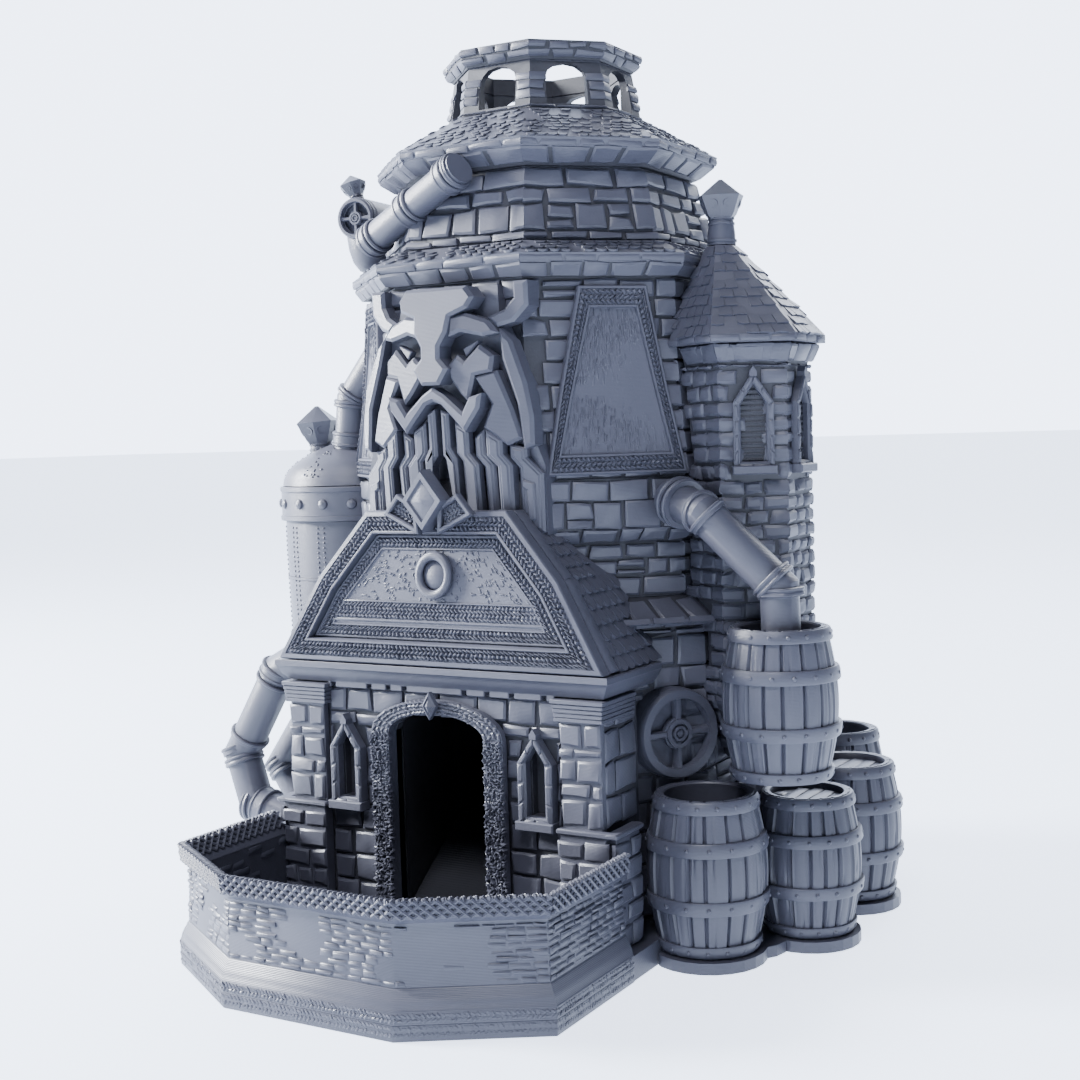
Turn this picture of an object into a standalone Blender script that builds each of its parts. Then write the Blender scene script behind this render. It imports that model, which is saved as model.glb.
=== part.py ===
"""Dice tower: an eight-sided brick tower with a gatehouse, a side turret, pipes, barrels and a dice tray.

Dice drop through the open cupola, tumble over three baffles, run down the ramp and out of the gate
into the tray. The tray slides forward and the upper storey lifts off, so jammed dice can be reached.
Units are metres, +Z up; the gate faces -Y and the tower's axis is the Z axis.
"""
import bmesh
import bpy
from math import cos, pi, radians, sin, sqrt
from mathutils import Matrix, Vector

MM = 0.001
GAP = 0.35 * MM
SIDES = 8
PHASE = radians(22.5)

# Tower rings: corner radius and height of each outer edge, from the ground up.
PLINTH_TOP = 6.4 * MM
FOOT_WALL = ((65.8 * MM, 6.8 * MM), (65.0 * MM, 86.2 * MM))
LEDGE = ((67.6 * MM, 86.6 * MM), (69.6 * MM, 87.8 * MM), (58.6 * MM, 93.8 * MM))
MIDDLE_WALL = (
    (57.8 * MM, 94.2 * MM),
    (58.2 * MM, 109.0 * MM),
    (61.3 * MM, 112.8 * MM),
    (61.6 * MM, 126.8 * MM),
)
MAIN_WALL = ((60.6 * MM, 127.2 * MM), (57.6 * MM, 150.0 * MM), (56.4 * MM, 166.0 * MM), (56.4 * MM, 181.0 * MM))
LOWER_EAVE = ((57.4 * MM, 181.4 * MM), (60.3 * MM, 184.8 * MM), (60.5 * MM, 187.3 * MM), (50.9 * MM, 191.6 * MM))
DRUM_WALL = ((50.6 * MM, 192.0 * MM), (45.0 * MM, 212.2 * MM))
UPPER_ROOF = ((45.4 * MM, 212.6 * MM), (51.3 * MM, 216.6 * MM), (51.5 * MM, 219.2 * MM), (30.4 * MM, 230.8 * MM))
CUPOLA_WALL = ((29.8 * MM, 231.2 * MM), (27.4 * MM, 244.6 * MM))
CUPOLA_RIM = ((27.8 * MM, 245.0 * MM), (29.8 * MM, 247.4 * MM), (30.0 * MM, 250.0 * MM))
WALL = 4.0 * MM
RAMP_LIP = 9.0 * MM
BAFFLE_HALF_WIDTH = 44.0 * MM
BAFFLE_THICKNESS = 2.4 * MM
RAMP_TOP = 45.0 * MM

# Gatehouse.
GATE_FRONT = -66.0 * MM
GATE_HALF_WIDTH = 50.3 * MM
GATE_TOP = 71.4 * MM
DOOR_HALF_WIDTH = 15.3 * MM
DOOR_SPRING = 59.0 * MM
DOOR_TOP = 65.0 * MM
WINDOW_X = 30.6 * MM
FRAMES = (-69.2 * MM, -66.35 * MM)
THROUGH = (-75.0 * MM, -55.0 * MM)
GABLE_LEAN = 0.098
GABLE_BASE = 78.0 * MM
GABLE_OUTLINE = ((52.2 * MM, 78.0 * MM), (38.4 * MM, 101.4 * MM), (22.6 * MM, 119.6 * MM))
GABLE_RECESS = ((42.4 * MM, 84.0 * MM), (32.6 * MM, 98.6 * MM), (18.4 * MM, 114.0 * MM))

# Tray.
TRAY_HALF_WIDTH = 58.15 * MM
TRAY_FRONT = -127.7 * MM
TRAY_REAR = -68.0 * MM
TRAY_CORNER = (32.5 * MM, 20.15 * MM)
TRAY_FLOOR_TOP = 4.0 * MM
TRAY_HEIGHT = 33.6 * MM

# Turret.
TURRET_AXIS = (67.4 * MM, -10.5 * MM)
TURRET_TURN = 0.0
TURRET_RADIUS = 18.4 * MM
TURRET_EAVE_RADIUS = 22.4 * MM
TURRET_EAVE = 164.2 * MM
TURRET_APEX = (61.0 * MM, -9.5 * MM, 189.5 * MM)

# Barrels: x, y, foot height, belly radius, height, whether the top is open.
BARREL_FOOT = 3.4 * MM
BARRELS = (
    ("barrel_front", 66.8 * MM, -41.2 * MM, BARREL_FOOT, 16.4 * MM, 41.0 * MM, True),
    ("barrel_middle", 85.2 * MM, -15.6 * MM, BARREL_FOOT, 14.9 * MM, 37.6 * MM, False),
    ("barrel_rear", 84.4 * MM, 21.0 * MM, BARREL_FOOT, 15.4 * MM, 38.6 * MM, False),
    ("barrel_upper", 85.2 * MM, -33.5 * MM, 48.4 * MM, 15.8 * MM, 39.6 * MM, True),
    ("barrel_back", 70.0 * MM, 51.0 * MM, BARREL_FOOT, 15.4 * MM, 42.0 * MM, True),
)

# Boiler on the left side.
BOILER_AXIS = (-66.0 * MM, -12.0 * MM)
BOILER_RADIUS = 22.0 * MM
BOILER_BAND = (114.6 * MM, 125.2 * MM)

STONE = (0.150, 0.166, 0.205)


def clear_scene():
    for item in list(bpy.data.objects):
        bpy.data.objects.remove(item, do_unlink=True)


def material(name, tint=1.0, roughness=0.48):
    mat = bpy.data.materials.new(name)
    mat.use_nodes = True
    shader = mat.node_tree.nodes["Principled BSDF"]
    colour = tuple(channel * tint for channel in STONE)
    shader.inputs["Base Color"].default_value = (*colour, 1.0)
    shader.inputs["Roughness"].default_value = roughness
    shader.inputs["Metallic"].default_value = 0.0
    mat.diffuse_color = (*colour, 1.0)
    return mat


def add_mesh(name, bm, parent=None, tint=1.0):
    """Turns a bmesh into a named object with its own material, parented in place."""
    bmesh.ops.recalc_face_normals(bm, faces=bm.faces)
    mesh = bpy.data.meshes.new(name)
    bm.to_mesh(mesh)
    bm.free()
    obj = bpy.data.objects.new(name, mesh)
    bpy.context.collection.objects.link(obj)
    obj.data.materials.append(material(name + "_plastic", tint))
    if parent is not None:
        obj.parent = parent
        obj.matrix_parent_inverse = Matrix.Translation(parent.location).inverted()
    return obj


def empty(name, location):
    obj = bpy.data.objects.new(name, None)
    obj.location = location
    bpy.context.collection.objects.link(obj)
    return obj


def polygon(radius, z, sides=SIDES, phase=PHASE, centre=(0.0, 0.0)):
    """Corners of a level regular polygon; angles run from -Y towards +X."""
    corners = []
    for index in range(sides):
        angle = phase + 2 * pi * index / sides
        corners.append(Vector((centre[0] + radius * sin(angle), centre[1] - radius * cos(angle), z)))
    return corners


def loft(name, rings, parent=None, tint=1.0):
    """A closed solid through rings of equal point count, capped at both ends."""
    bm = bmesh.new()
    rows = [[bm.verts.new(point) for point in ring] for ring in rings]
    count = len(rows[0])
    for lower, upper in zip(rows, rows[1:]):
        for index in range(count):
            following = (index + 1) % count
            bm.faces.new((lower[index], lower[following], upper[following], upper[index]))
    bm.faces.new(rows[0])
    bm.faces.new(rows[-1])
    return add_mesh(name, bm, parent, tint)


def turned(name, profile, sides=SIDES, phase=PHASE, centre=(0.0, 0.0), parent=None, tint=1.0):
    """Spins a closed (radius, height) profile about a vertical axis; points on the axis are merged."""
    bm = bmesh.new()
    verts = [bm.verts.new((radius * sin(phase), -radius * cos(phase), z)) for radius, z in profile]
    edges = [bm.edges.new(pair) for pair in zip(verts, verts[1:])]
    if min(profile[0][0], profile[-1][0]) > 0:
        edges.append(bm.edges.new((verts[-1], verts[0])))
    bmesh.ops.spin(
        bm, geom=verts + edges, cent=(0, 0, 0), axis=(0, 0, 1), angle=2 * pi, steps=sides, use_merge=True
    )
    bmesh.ops.remove_doubles(bm, verts=bm.verts, dist=0.00001)
    bmesh.ops.translate(bm, verts=bm.verts, vec=(centre[0], centre[1], 0))
    return add_mesh(name, bm, parent, tint)


def shell(name, outer, inner, **options):
    """A ring-shaped wall between an outer and an inner profile, both given from the bottom up."""
    return turned(name, tuple(outer) + tuple(reversed(inner)), **options)


def box(name, x, y, z, parent=None, tint=1.0):
    bm = bmesh.new()
    bmesh.ops.create_cube(bm, size=1.0)
    size = (x[1] - x[0], y[1] - y[0], z[1] - z[0])
    middle = ((x[0] + x[1]) / 2, (y[0] + y[1]) / 2, (z[0] + z[1]) / 2)
    bmesh.ops.scale(bm, vec=size, verts=bm.verts)
    bmesh.ops.translate(bm, vec=middle, verts=bm.verts)
    return add_mesh(name, bm, parent, tint)


def slab(name, outline, near, far, lean=0.0, parent=None, tint=1.0):
    """An upright plate: an (x, z) outline pushed along Y, leaning back with height if asked."""
    rings = [[Vector((x, y + lean * (z - GABLE_BASE), z)) for x, z in outline] for y in (near, far)]
    return loft(name, rings, parent, tint)


def mirrored(half):
    """Completes a right-hand outline with its mirror image, keeping it one loop."""
    return tuple(half) + tuple((-x, z) for x, z in reversed(half) if x > 0)


def tube(name, points, radius, parent=None, tint=1.0, resolution=5):
    """A pipe of constant radius along straight runs, with filled ends."""
    curve = bpy.data.curves.new(name, "CURVE")
    curve.dimensions = "3D"
    curve.bevel_depth = radius
    curve.bevel_resolution = resolution
    curve.use_fill_caps = True
    spline = curve.splines.new("POLY")
    spline.points.add(len(points) - 1)
    for target, point in zip(spline.points, points):
        target.co = (*point, 1.0)
    source = bpy.data.objects.new(name + "_curve", curve)
    bpy.context.collection.objects.link(source)
    mesh = bpy.data.meshes.new_from_object(source)
    bm = bmesh.new()
    bm.from_mesh(mesh)
    bmesh.ops.remove_doubles(bm, verts=bm.verts, dist=0.00001)
    bpy.data.objects.remove(source, do_unlink=True)
    return add_mesh(name, bm, parent, tint)


def combine(target, tool, operation):
    """Applies one exact Boolean and removes the tool."""
    modifier = target.modifiers.new(operation.lower(), "BOOLEAN")
    modifier.operation = operation
    modifier.solver = "EXACT"
    modifier.object = tool
    bpy.context.view_layer.update()
    result = bpy.data.meshes.new_from_object(target.evaluated_get(bpy.context.evaluated_depsgraph_get()))
    target.modifiers.clear()
    target.data = result
    bpy.data.objects.remove(tool, do_unlink=True)
    return target


def cut(target, tool):
    return combine(target, tool, "DIFFERENCE")


def join(target, tool):
    return combine(target, tool, "UNION")


def envelope(rings, clearance, top=None, bottom=None):
    """A solid block following the tower's outside, grown by a clearance, used to trim neighbours."""
    outline = [(0.0, rings[0][1] - 4 * MM if bottom is None else bottom)]
    outline.append((rings[0][0] + clearance, outline[0][1]))
    outline += [(radius + clearance, z) for radius, z in rings]
    end = rings[-1][1] + 4 * MM if top is None else top
    outline.append((rings[-1][0] + clearance, end))
    outline.append((0.0, end))
    return turned("envelope", outline)


def lower_rings():
    return FOOT_WALL + LEDGE + MIDDLE_WALL + MAIN_WALL + LOWER_EAVE


def tower_shells(root, storey):
    """The stacked courses of the tower, each a closed ring, and the two openings through them."""
    plinth = loft("base_plinth", (polygon(69.5 * MM, 0.0), polygon(68.0 * MM, PLINTH_TOP)), root, 0.9)
    front_block = box("front_block", (-57.6 * MM, 57.6 * MM), (-67.4 * MM, -40 * MM), (0.0, PLINTH_TOP))
    join(plinth, front_block)

    inner = ((61.4 * MM, FOOT_WALL[0][1]), (60.6 * MM, FOOT_WALL[1][1]))
    foot = shell("foot_wall", FOOT_WALL, inner, parent=root)
    cut(foot, box("arch", (-36 * MM, 36 * MM), (-80 * MM, -40 * MM), (0.0, 80 * MM)))

    inner = tuple((54.0 * MM, z) for z in (LEDGE[0][1], LEDGE[-1][1]))
    shell("ledge_course", LEDGE, inner, parent=root, tint=1.05)
    inner = tuple((54.0 * MM, z) for z in (MIDDLE_WALL[0][1], MIDDLE_WALL[-1][1]))
    shell("middle_wall", MIDDLE_WALL, inner, parent=root)
    inner = tuple((radius - WALL, z) for radius, z in MAIN_WALL)
    shell("main_wall", MAIN_WALL, inner, parent=root)
    inner = ((53.0 * MM, LOWER_EAVE[0][1]), (46.2 * MM, LOWER_EAVE[-1][1]))
    shell("lower_eave", LOWER_EAVE, inner, parent=root, tint=1.05)

    inner = ((45.8 * MM, DRUM_WALL[0][1]), (40.6 * MM, DRUM_WALL[1][1]))
    shell("drum_wall", DRUM_WALL, inner, parent=storey)
    inner = ((40.6 * MM, UPPER_ROOF[0][1]), (40.0 * MM, 219.4 * MM), (24.8 * MM, UPPER_ROOF[-1][1]))
    shell("upper_roof", UPPER_ROOF, inner, parent=storey, tint=1.05)
    inner = tuple((24.8 * MM, z) for z in (CUPOLA_WALL[0][1], CUPOLA_WALL[1][1]))
    cupola = shell("cupola_arcade", CUPOLA_WALL, inner, parent=storey)
    for index in range(SIDES // 2):
        cut(cupola, cupola_arch(index * pi / 4))
    inner = tuple((24.8 * MM, z) for z in (CUPOLA_RIM[0][1], CUPOLA_RIM[-1][1]))
    shell("cupola_rim", CUPOLA_RIM, inner, parent=storey, tint=1.05)


def arch_outline(half_width, foot, spring, top, steps=6):
    """A (x, z) arch: straight jambs under an elliptical head."""
    outline = [(half_width, foot)]
    for step in range(steps + 1):
        angle = pi * step / steps
        outline.append((half_width * cos(angle), spring + (top - spring) * sin(angle)))
    outline.append((-half_width, foot))
    return outline


def cupola_arch(angle):
    """A bar shaped like the cupola's arched opening, passing right through two facing sides."""
    outline = arch_outline(6.2 * MM, 232.4 * MM, 239.8 * MM, 244.0 * MM)
    tool = slab("cupola_arch", outline, -40 * MM, 40 * MM)
    tool.data.transform(Matrix.Rotation(angle, 4, "Z"))
    return tool


def interior(root):
    """Three baffles, the exit ramp and the two walls that steer dice to the gate."""
    plates = (
        ("baffle_upper", (-46.5, 171.0), (12.0, 149.0)),
        ("baffle_middle", (46.0, 143.0), (-12.0, 120.0)),
        ("baffle_lower", (-47.0, 107.0), (10.0, 84.0)),
    )
    for name, start, end in plates:
        near = min(start[0], end[0]) * MM
        far = max(start[0], end[0]) * MM
        low = start if start[0] < end[0] else end
        high = end if start[0] < end[0] else start
        slope = (high[1] - low[1]) / (high[0] - low[0])
        plan = baffle_plan(near, far, start[0] > 0)
        bottom = [Vector((x, y, low[1] * MM + slope * (y - near))) for x, y in plan]
        top = [point + Vector((0, 0, BAFFLE_THICKNESS)) for point in bottom]
        loft(name, (bottom, top), root, 0.95)

    plan = ((26.4, 50.0), (26.4, -20.0), (15.1, -61.6), (-15.1, -61.6), (-26.4, -20.0), (-26.4, 50.0))
    under = [Vector((x * MM, y * MM, 6.8 * MM)) for x, y in plan]
    slope = (RAMP_TOP - RAMP_LIP) / (111.6 * MM)
    over = [Vector((p.x, p.y, RAMP_LIP + slope * (p.y + 61.6 * MM))) for p in under]
    loft("exit_ramp", (under, over), root, 0.95)
    for side, label in ((-1, "left"), (1, "right")):
        wall = ((26.8, 50.0), (29.2, 50.0), (29.2, -20.0), (17.9, -61.6), (15.5, -61.6), (26.8, -20.0))
        rings = [[Vector((side * x * MM, y * MM, z)) for x, y in wall] for z in (6.8 * MM, 62.0 * MM)]
        loft("chute_wall_" + label, rings, root, 0.95)


def baffle_plan(near, far, rear):
    """Plan of a baffle that follows three sides of the eight-sided shaft."""
    wall_end = far if rear else near
    open_end = near if rear else far
    bend = 20 * MM if rear else -20 * MM
    right = [(BAFFLE_HALF_WIDTH, open_end), (BAFFLE_HALF_WIDTH, bend), (18 * MM, wall_end)]
    return right + [(-x, y) for x, y in reversed(right)]


def gatehouse(root):
    """Front wall with its door and two lancet windows, corner piers, cornice and gable."""
    plan = ((-1, -46.0), (-1, -66.0), (1, -66.0), (1, -46.0))
    outer = [(side * GATE_HALF_WIDTH, y * MM) for side, y in plan]
    inner = [(side * (GATE_HALF_WIDTH - 3.4 * MM), y * MM + (3.4 * MM if y < -60 else 0.0)) for side, y in plan]
    ring = outer + list(reversed(inner))
    wall = loft("gatehouse_wall", [[Vector((x, y, z)) for x, y in ring] for z in (6.8 * MM, GATE_TOP)], root)
    opening = arch_outline(DOOR_HALF_WIDTH, 4 * MM, DOOR_SPRING, DOOR_TOP, 8)
    cut(wall, slab("door", opening, *THROUGH))
    for side in (-1, 1):
        cut(wall, lancet("window_cut", side * WINDOW_X, 2.5 * MM, 39.6 * MM, 59.2 * MM, *THROUGH))
    cut(wall, envelope(FOOT_WALL, GAP))

    for side, label in ((-1, "left"), (1, "right")):
        depth = (-68.2 * MM, -66.4 * MM)
        pier = box("pilaster_" + label, sided(side, 37.6, 50.4), depth, (6.8 * MM, 71.2 * MM), root, 1.05)
        foot_front = box("pier_front", sided(side, 37.4, 52.0), (-69.6 * MM, -66.4 * MM), (6.8 * MM, 37.6 * MM))
        foot_side = box("pier_side", sided(side, 50.7, 54.6), (-67.4 * MM, -54.0 * MM), (6.8 * MM, 37.6 * MM))
        join(pier, foot_front)
        join(pier, foot_side)
        cut(pier, envelope(FOOT_WALL, GAP))
        x = side * WINDOW_X
        frame = lancet("gate_window_" + label, x, 5.4 * MM, 37.2 * MM, 63.2 * MM, *FRAMES, root, 1.05)
        cut(frame, lancet("window_cut", side * WINDOW_X, 2.5 * MM, 39.6 * MM, 59.2 * MM, *THROUGH))

    arch = arch_outline(21.4 * MM, 6.8 * MM, 59.6 * MM, 69.0 * MM, 8)
    surround = slab("door_surround", arch, *FRAMES, 0.0, root, 1.1)
    cut(surround, slab("door", opening, *THROUGH))
    diamond = [(2.2 * MM, 67.6 * MM), (0.0, 71.2 * MM), (-2.2 * MM, 67.6 * MM), (0.0, 64.0 * MM)]
    slab("door_keystone", diamond, -71.6 * MM, -69.55 * MM, 0.0, root, 1.1)

    cornice_rings = []
    for grow, z in ((0.6, 71.8), (2.0, 74.6), (2.6, 77.6)):
        half = GATE_HALF_WIDTH + grow * MM
        front = GATE_FRONT - (grow + 1.0) * MM
        corners = ((-half, -38 * MM), (-half, front), (half, front), (half, -38 * MM))
        cornice_rings.append([Vector((x, y, z * MM)) for x, y in corners])
    cornice = loft("gatehouse_cornice", cornice_rings, root, 1.05)
    cut(cornice, box("hollow", (-46.5 * MM, 46.5 * MM), (-62.4 * MM, -30 * MM), (60 * MM, 90 * MM)))
    cut(cornice, envelope(FOOT_WALL, GAP))

    facade = slab("gable_facade", mirrored(GABLE_OUTLINE), -69.6 * MM, -65.6 * MM, GABLE_LEAN, root, 1.1)
    cut(facade, slab("recess", mirrored(GABLE_RECESS), -72.0 * MM, -67.2 * MM, GABLE_LEAN))
    panel = ((38.8 * MM, 86.0 * MM), (30.4 * MM, 98.0 * MM), (16.8 * MM, 112.2 * MM))
    slab("gable_panel", mirrored(panel), -68.6 * MM, -67.55 * MM, GABLE_LEAN, root, 1.0)
    gable_roof(root)
    ring_plate("gable_porthole", (0.0, -67.35 * MM, 102.2 * MM), 0.0, 5.9 * MM, 4.1 * MM, 1.8 * MM, root)
    gem = [(6.6 * MM, 122.6 * MM), (0.0, 130.8 * MM), (-6.6 * MM, 122.6 * MM), (0.0, 114.4 * MM)]
    gem_rings = []
    for scale, y in ((1.0, -66.6), (1.0, -69.2), (0.4, -71.8)):
        gem_rings.append([Vector((x * scale, y * MM, 122.6 * MM + (z - 122.6 * MM) * scale)) for x, z in gem])
    loft("gable_gem", gem_rings, root, 1.1)


def sided(side, near, far):
    """An x interval on the right or mirrored to the left."""
    values = (side * near * MM, side * far * MM)
    return (min(values), max(values))


def lancet(name, x, half, sill, top, near, far, parent=None, tint=1.0):
    """A pointed window shape as an upright plate."""
    shoulder = top - 1.5 * half
    outline = [(x + half, sill), (x + half, shoulder), (x, top), (x - half, shoulder), (x - half, sill)]
    return slab(name, outline, near, far, 0.0, parent, tint)


def gable_roof(root):
    """The tiled roof behind the gable: an arch of three slopes trimmed to the tower."""
    outer = mirrored(((51.6 * MM, 78.0 * MM), (37.8 * MM, 101.2 * MM), (22.2 * MM, 119.0 * MM)))
    inner = mirrored(((48.2 * MM, 78.0 * MM), (35.2 * MM, 99.6 * MM), (20.8 * MM, 115.8 * MM)))
    rings = []
    for outline in (outer, inner):
        front = [Vector((x, -65.2 * MM + GABLE_LEAN * (z - GABLE_BASE), z)) for x, z in outline]
        back = [Vector((x, -22.0 * MM, z)) for x, z in outline]
        rings.append((front, back))
    roof = loft("gable_roof", rings[0], root, 0.8)
    void = loft("roof_void", ([point + Vector((0, -6 * MM, 0)) for point in rings[1][0]], rings[1][1]))
    lower = [vert for vert in void.data.vertices if vert.co.z < 79 * MM]
    for vert in lower:
        vert.co.z = 70 * MM
    for vert in void.data.vertices:
        vert.co.y += 2 * MM if vert.co.y > -30 * MM else 0.0
    cut(roof, void)
    cut(roof, envelope(FOOT_WALL + LEDGE + MIDDLE_WALL, GAP))


def ring_plate(name, centre, angle, outer, inner, depth, parent, tint=1.05, sides=24):
    """A flat ring facing sideways: its axis points away from the tower at the given angle."""
    bm = bmesh.new()
    profile = ((outer, 0.0), (outer, depth), (inner, depth), (inner, 0.0))
    verts = [bm.verts.new((radius, 0, z)) for radius, z in profile]
    edges = [bm.edges.new((verts[index], verts[(index + 1) % 4])) for index in range(4)]
    bmesh.ops.spin(
        bm, geom=verts + edges, cent=(0, 0, 0), axis=(0, 0, 1), angle=2 * pi, steps=sides, use_merge=True
    )
    bmesh.ops.remove_doubles(bm, verts=bm.verts, dist=0.00001)
    turn = Matrix.Rotation(angle, 4, "Z") @ Matrix.Rotation(pi / 2, 4, "X")
    bmesh.ops.transform(bm, matrix=Matrix.Translation(centre) @ turn, verts=bm.verts)
    return add_mesh(name, bm, parent, tint)


def facing(angle, distance, sideways, z):
    """A point on a tower face: distance out along its normal and sideways along it."""
    x = distance * sin(angle) + sideways * cos(angle)
    y = sideways * sin(angle) - distance * cos(angle)
    return Vector((x, y, z))


def reliefs(root):
    """The bearded mask, the framed panel beside it and the spoked hatch low on the right."""
    rows = (
        (112.8, 29.0, 56.6, 61.0),
        (121.0, 30.0, 56.6, 62.4),
        (152.0, 30.0, 56.4, 64.4),
        (166.0, 24.0, 55.8, 64.0),
        (179.6, 16.0, 56.0, 61.0),
    )
    rings = []
    for z, half, side, nose in rows:
        right = [(half * 0.45, -nose), (half, -side), (half - 2, -40.0)]
        ring = right + [(-x, y) for x, y in reversed(right)]
        rings.append([Vector((x * MM, y * MM, z * MM)) for x, y in ring])
    mask = loft("mask_relief", rings, root, 1.1)
    cut(mask, envelope(MIDDLE_WALL + MAIN_WALL, GAP))
    outline = mirrored(tuple((x + GAP, z + 1 * MM) for x, z in GABLE_OUTLINE))
    cut(mask, slab("gable_clear", outline, -85 * MM, -40 * MM))
    cut(mask, loft("gem_clear", gem_clearance()))
    for side, label in ((-1, "left"), (1, "right")):
        outline = ((-17.9, 127.3), (23.1, 127.3), (13.4, 179.6), (-7.0, 179.6))
        cut(mask, loft("panel_clear", panel_rings(outline, -3.0, 12.0, side)))
        outline = ((-17.3, 128.0), (22.3, 128.0), (13.0, 178.8), (-6.3, 178.8))
        panel = loft("framed_panel_" + label, panel_rings(outline, -3.0, 1.6, side), root, 1.0)
        cut(panel, envelope(MAIN_WALL, GAP))
        cut(panel, dome_clear())

    angle = radians(58)
    centre = Vector((57.0 * MM, -34.6 * MM, 57.6 * MM))
    hatch = disc("side_hatch", centre, angle, 12.4 * MM, 9.0 * MM, root)
    cut(hatch, envelope(FOOT_WALL, GAP))


def panel_rings(outline, back, front, side):
    """A framed panel's corners at two depths on the left or right front diagonal face."""
    rings = []
    for out in (back, front):
        ring = []
        for sideways, z in outline:
            distance = wall_radius(z * MM) * cos(PHASE) + out * MM
            ring.append(facing(side * pi / 4, distance, side * sideways * MM, z * MM))
        rings.append(ring)
    return rings


def gem_clearance():
    gem = [(7.0 * MM, 122.6 * MM), (0.0, 131.4 * MM), (-7.0 * MM, 122.6 * MM), (0.0, 113.8 * MM)]
    return [[Vector((x, y * MM, z)) for x, z in gem] for y in (-66.2, -75.0)]


def wall_radius(z):
    """Corner radius of the main wall at a height."""
    for (low_radius, low), (high_radius, high) in zip(MAIN_WALL, MAIN_WALL[1:]):
        if z <= high:
            return low_radius + (high_radius - low_radius) * (z - low) / (high - low)
    return MAIN_WALL[-1][0]


def disc(name, centre, angle, radius, depth, parent=None, tint=1.0, sides=24):
    """A short horizontal drum whose outer face looks away from the tower at the given angle."""
    bm = bmesh.new()
    bmesh.ops.create_cone(bm, cap_ends=True, segments=sides, radius1=radius, radius2=radius, depth=depth)
    bmesh.ops.translate(bm, verts=bm.verts, vec=(0, 0, -depth / 2))
    turn = Matrix.Rotation(angle, 4, "Z") @ Matrix.Rotation(pi / 2, 4, "X")
    bmesh.ops.transform(bm, matrix=Matrix.Translation(centre) @ turn, verts=bm.verts)
    return add_mesh(name, bm, parent, tint)


def turret(root):
    """Six-sided side turret: brick shaft, corbelled eave, leaning roof, two windows and a chimney."""
    options = {"sides": 6, "phase": TURRET_TURN, "centre": TURRET_AXIS}
    radius = TURRET_RADIUS
    base = ((0.0, 48.0 * MM), (7.0 * MM, 48.0 * MM), (radius, 66.0 * MM))
    shaft = base + ((radius, 156.6 * MM), (20.8 * MM, 161.6 * MM), (0.0, 161.6 * MM))
    wall = turned("turret_wall", shaft, parent=root, **options)
    cut(wall, envelope(lower_rings(), GAP))

    eave = polygon(TURRET_EAVE_RADIUS, 162.0 * MM, 6, TURRET_TURN, TURRET_AXIS)
    edge = polygon(TURRET_EAVE_RADIUS, TURRET_EAVE, 6, TURRET_TURN, TURRET_AXIS)
    apex = polygon(4.4 * MM, TURRET_APEX[2], 6, TURRET_TURN, TURRET_APEX[:2])
    roof = loft("turret_roof", (eave, edge, apex), root, 0.95)
    cut(roof, envelope(MAIN_WALL + LOWER_EAVE + DRUM_WALL[:1], GAP, top=200 * MM))

    flat = radius * cos(pi / 6)
    for label, facet in (("front", radians(30)), ("side", radians(90))):
        angle = facet + TURRET_TURN
        turn = Matrix.Translation((*TURRET_AXIS, 0)) @ Matrix.Rotation(angle, 4, "Z")
        depth = (-flat - 2.2 * MM, -flat - GAP)
        frame = lancet("turret_window_" + label, 0.0, 5.6 * MM, 128.0 * MM, 154.2 * MM, *depth, root, 1.05)
        cut(frame, lancet("pane", 0.0, 3.2 * MM, 130.2 * MM, 151.6 * MM, -flat - 9 * MM, flat))
        frame.data.transform(turn)

    chimney("turret_chimney", (*TURRET_APEX[:2], TURRET_APEX[2] + GAP), 4.0 * MM, 6.7 * MM, 18.0 * MM, root)


def chimney(name, foot, stem, cap, height, parent, lean=0.0):
    """A round stem under a faceted crystal cap."""
    profile = (
        (0.0, 0.0),
        (stem, 0.0),
        (stem * 0.92, height * 0.40),
        (stem * 1.12, height * 0.46),
        (cap, height * 0.74),
        (0.0, height),
    )
    pot = turned(name, profile, sides=8, phase=PHASE, parent=parent, tint=0.9)
    pot.data.transform(Matrix.Translation(foot) @ Matrix.Rotation(lean, 4, "Y"))
    return pot


def barrel(name, x, y, foot, belly, height, is_open, root):
    """A coopered barrel: a bulging body with a raised rim, hollow or lidded."""
    end = belly * 0.81
    steps = 8
    profile = []
    for step in range(steps + 1):
        part = step / steps
        radius = end + (belly - end) * sin(pi * part)
        profile.append((radius, foot + height * part))
    rim = end - 1.8 * MM
    floor = foot + 4 * MM if is_open else foot + height - 2.6 * MM
    profile.append((rim, foot + height))
    if is_open:
        profile.append((belly - 3.0 * MM, foot + height / 2))
    profile.append((rim, floor))
    profile.append((0.0, floor))
    profile.insert(0, (0.0, foot))
    body = turned(name, profile, sides=24, phase=0.0, centre=(x, y), parent=root, tint=1.0)
    if nearest_corner(body) < 66 * MM:
        cut(body, envelope(FOOT_WALL, GAP, top=87.8 * MM))
    if foot < PLINTH_TOP and nearest_corner(body) < 64 * MM:
        cut(body, plinth_clearance())
    if foot > PLINTH_TOP:
        reach = TURRET_RADIUS + GAP
        flat = ((0.0, 40 * MM), (reach, 40 * MM), (reach, 100 * MM), (0.0, 100 * MM))
        cut(body, turned("turret_clear", flat, sides=6, phase=TURRET_TURN, centre=TURRET_AXIS))
    return body


def nearest_corner(body):
    """Distance from the tower's axis to the piece's nearest corner."""
    return min(sqrt(vert.co.x ** 2 + vert.co.y ** 2) for vert in body.data.vertices)


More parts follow.
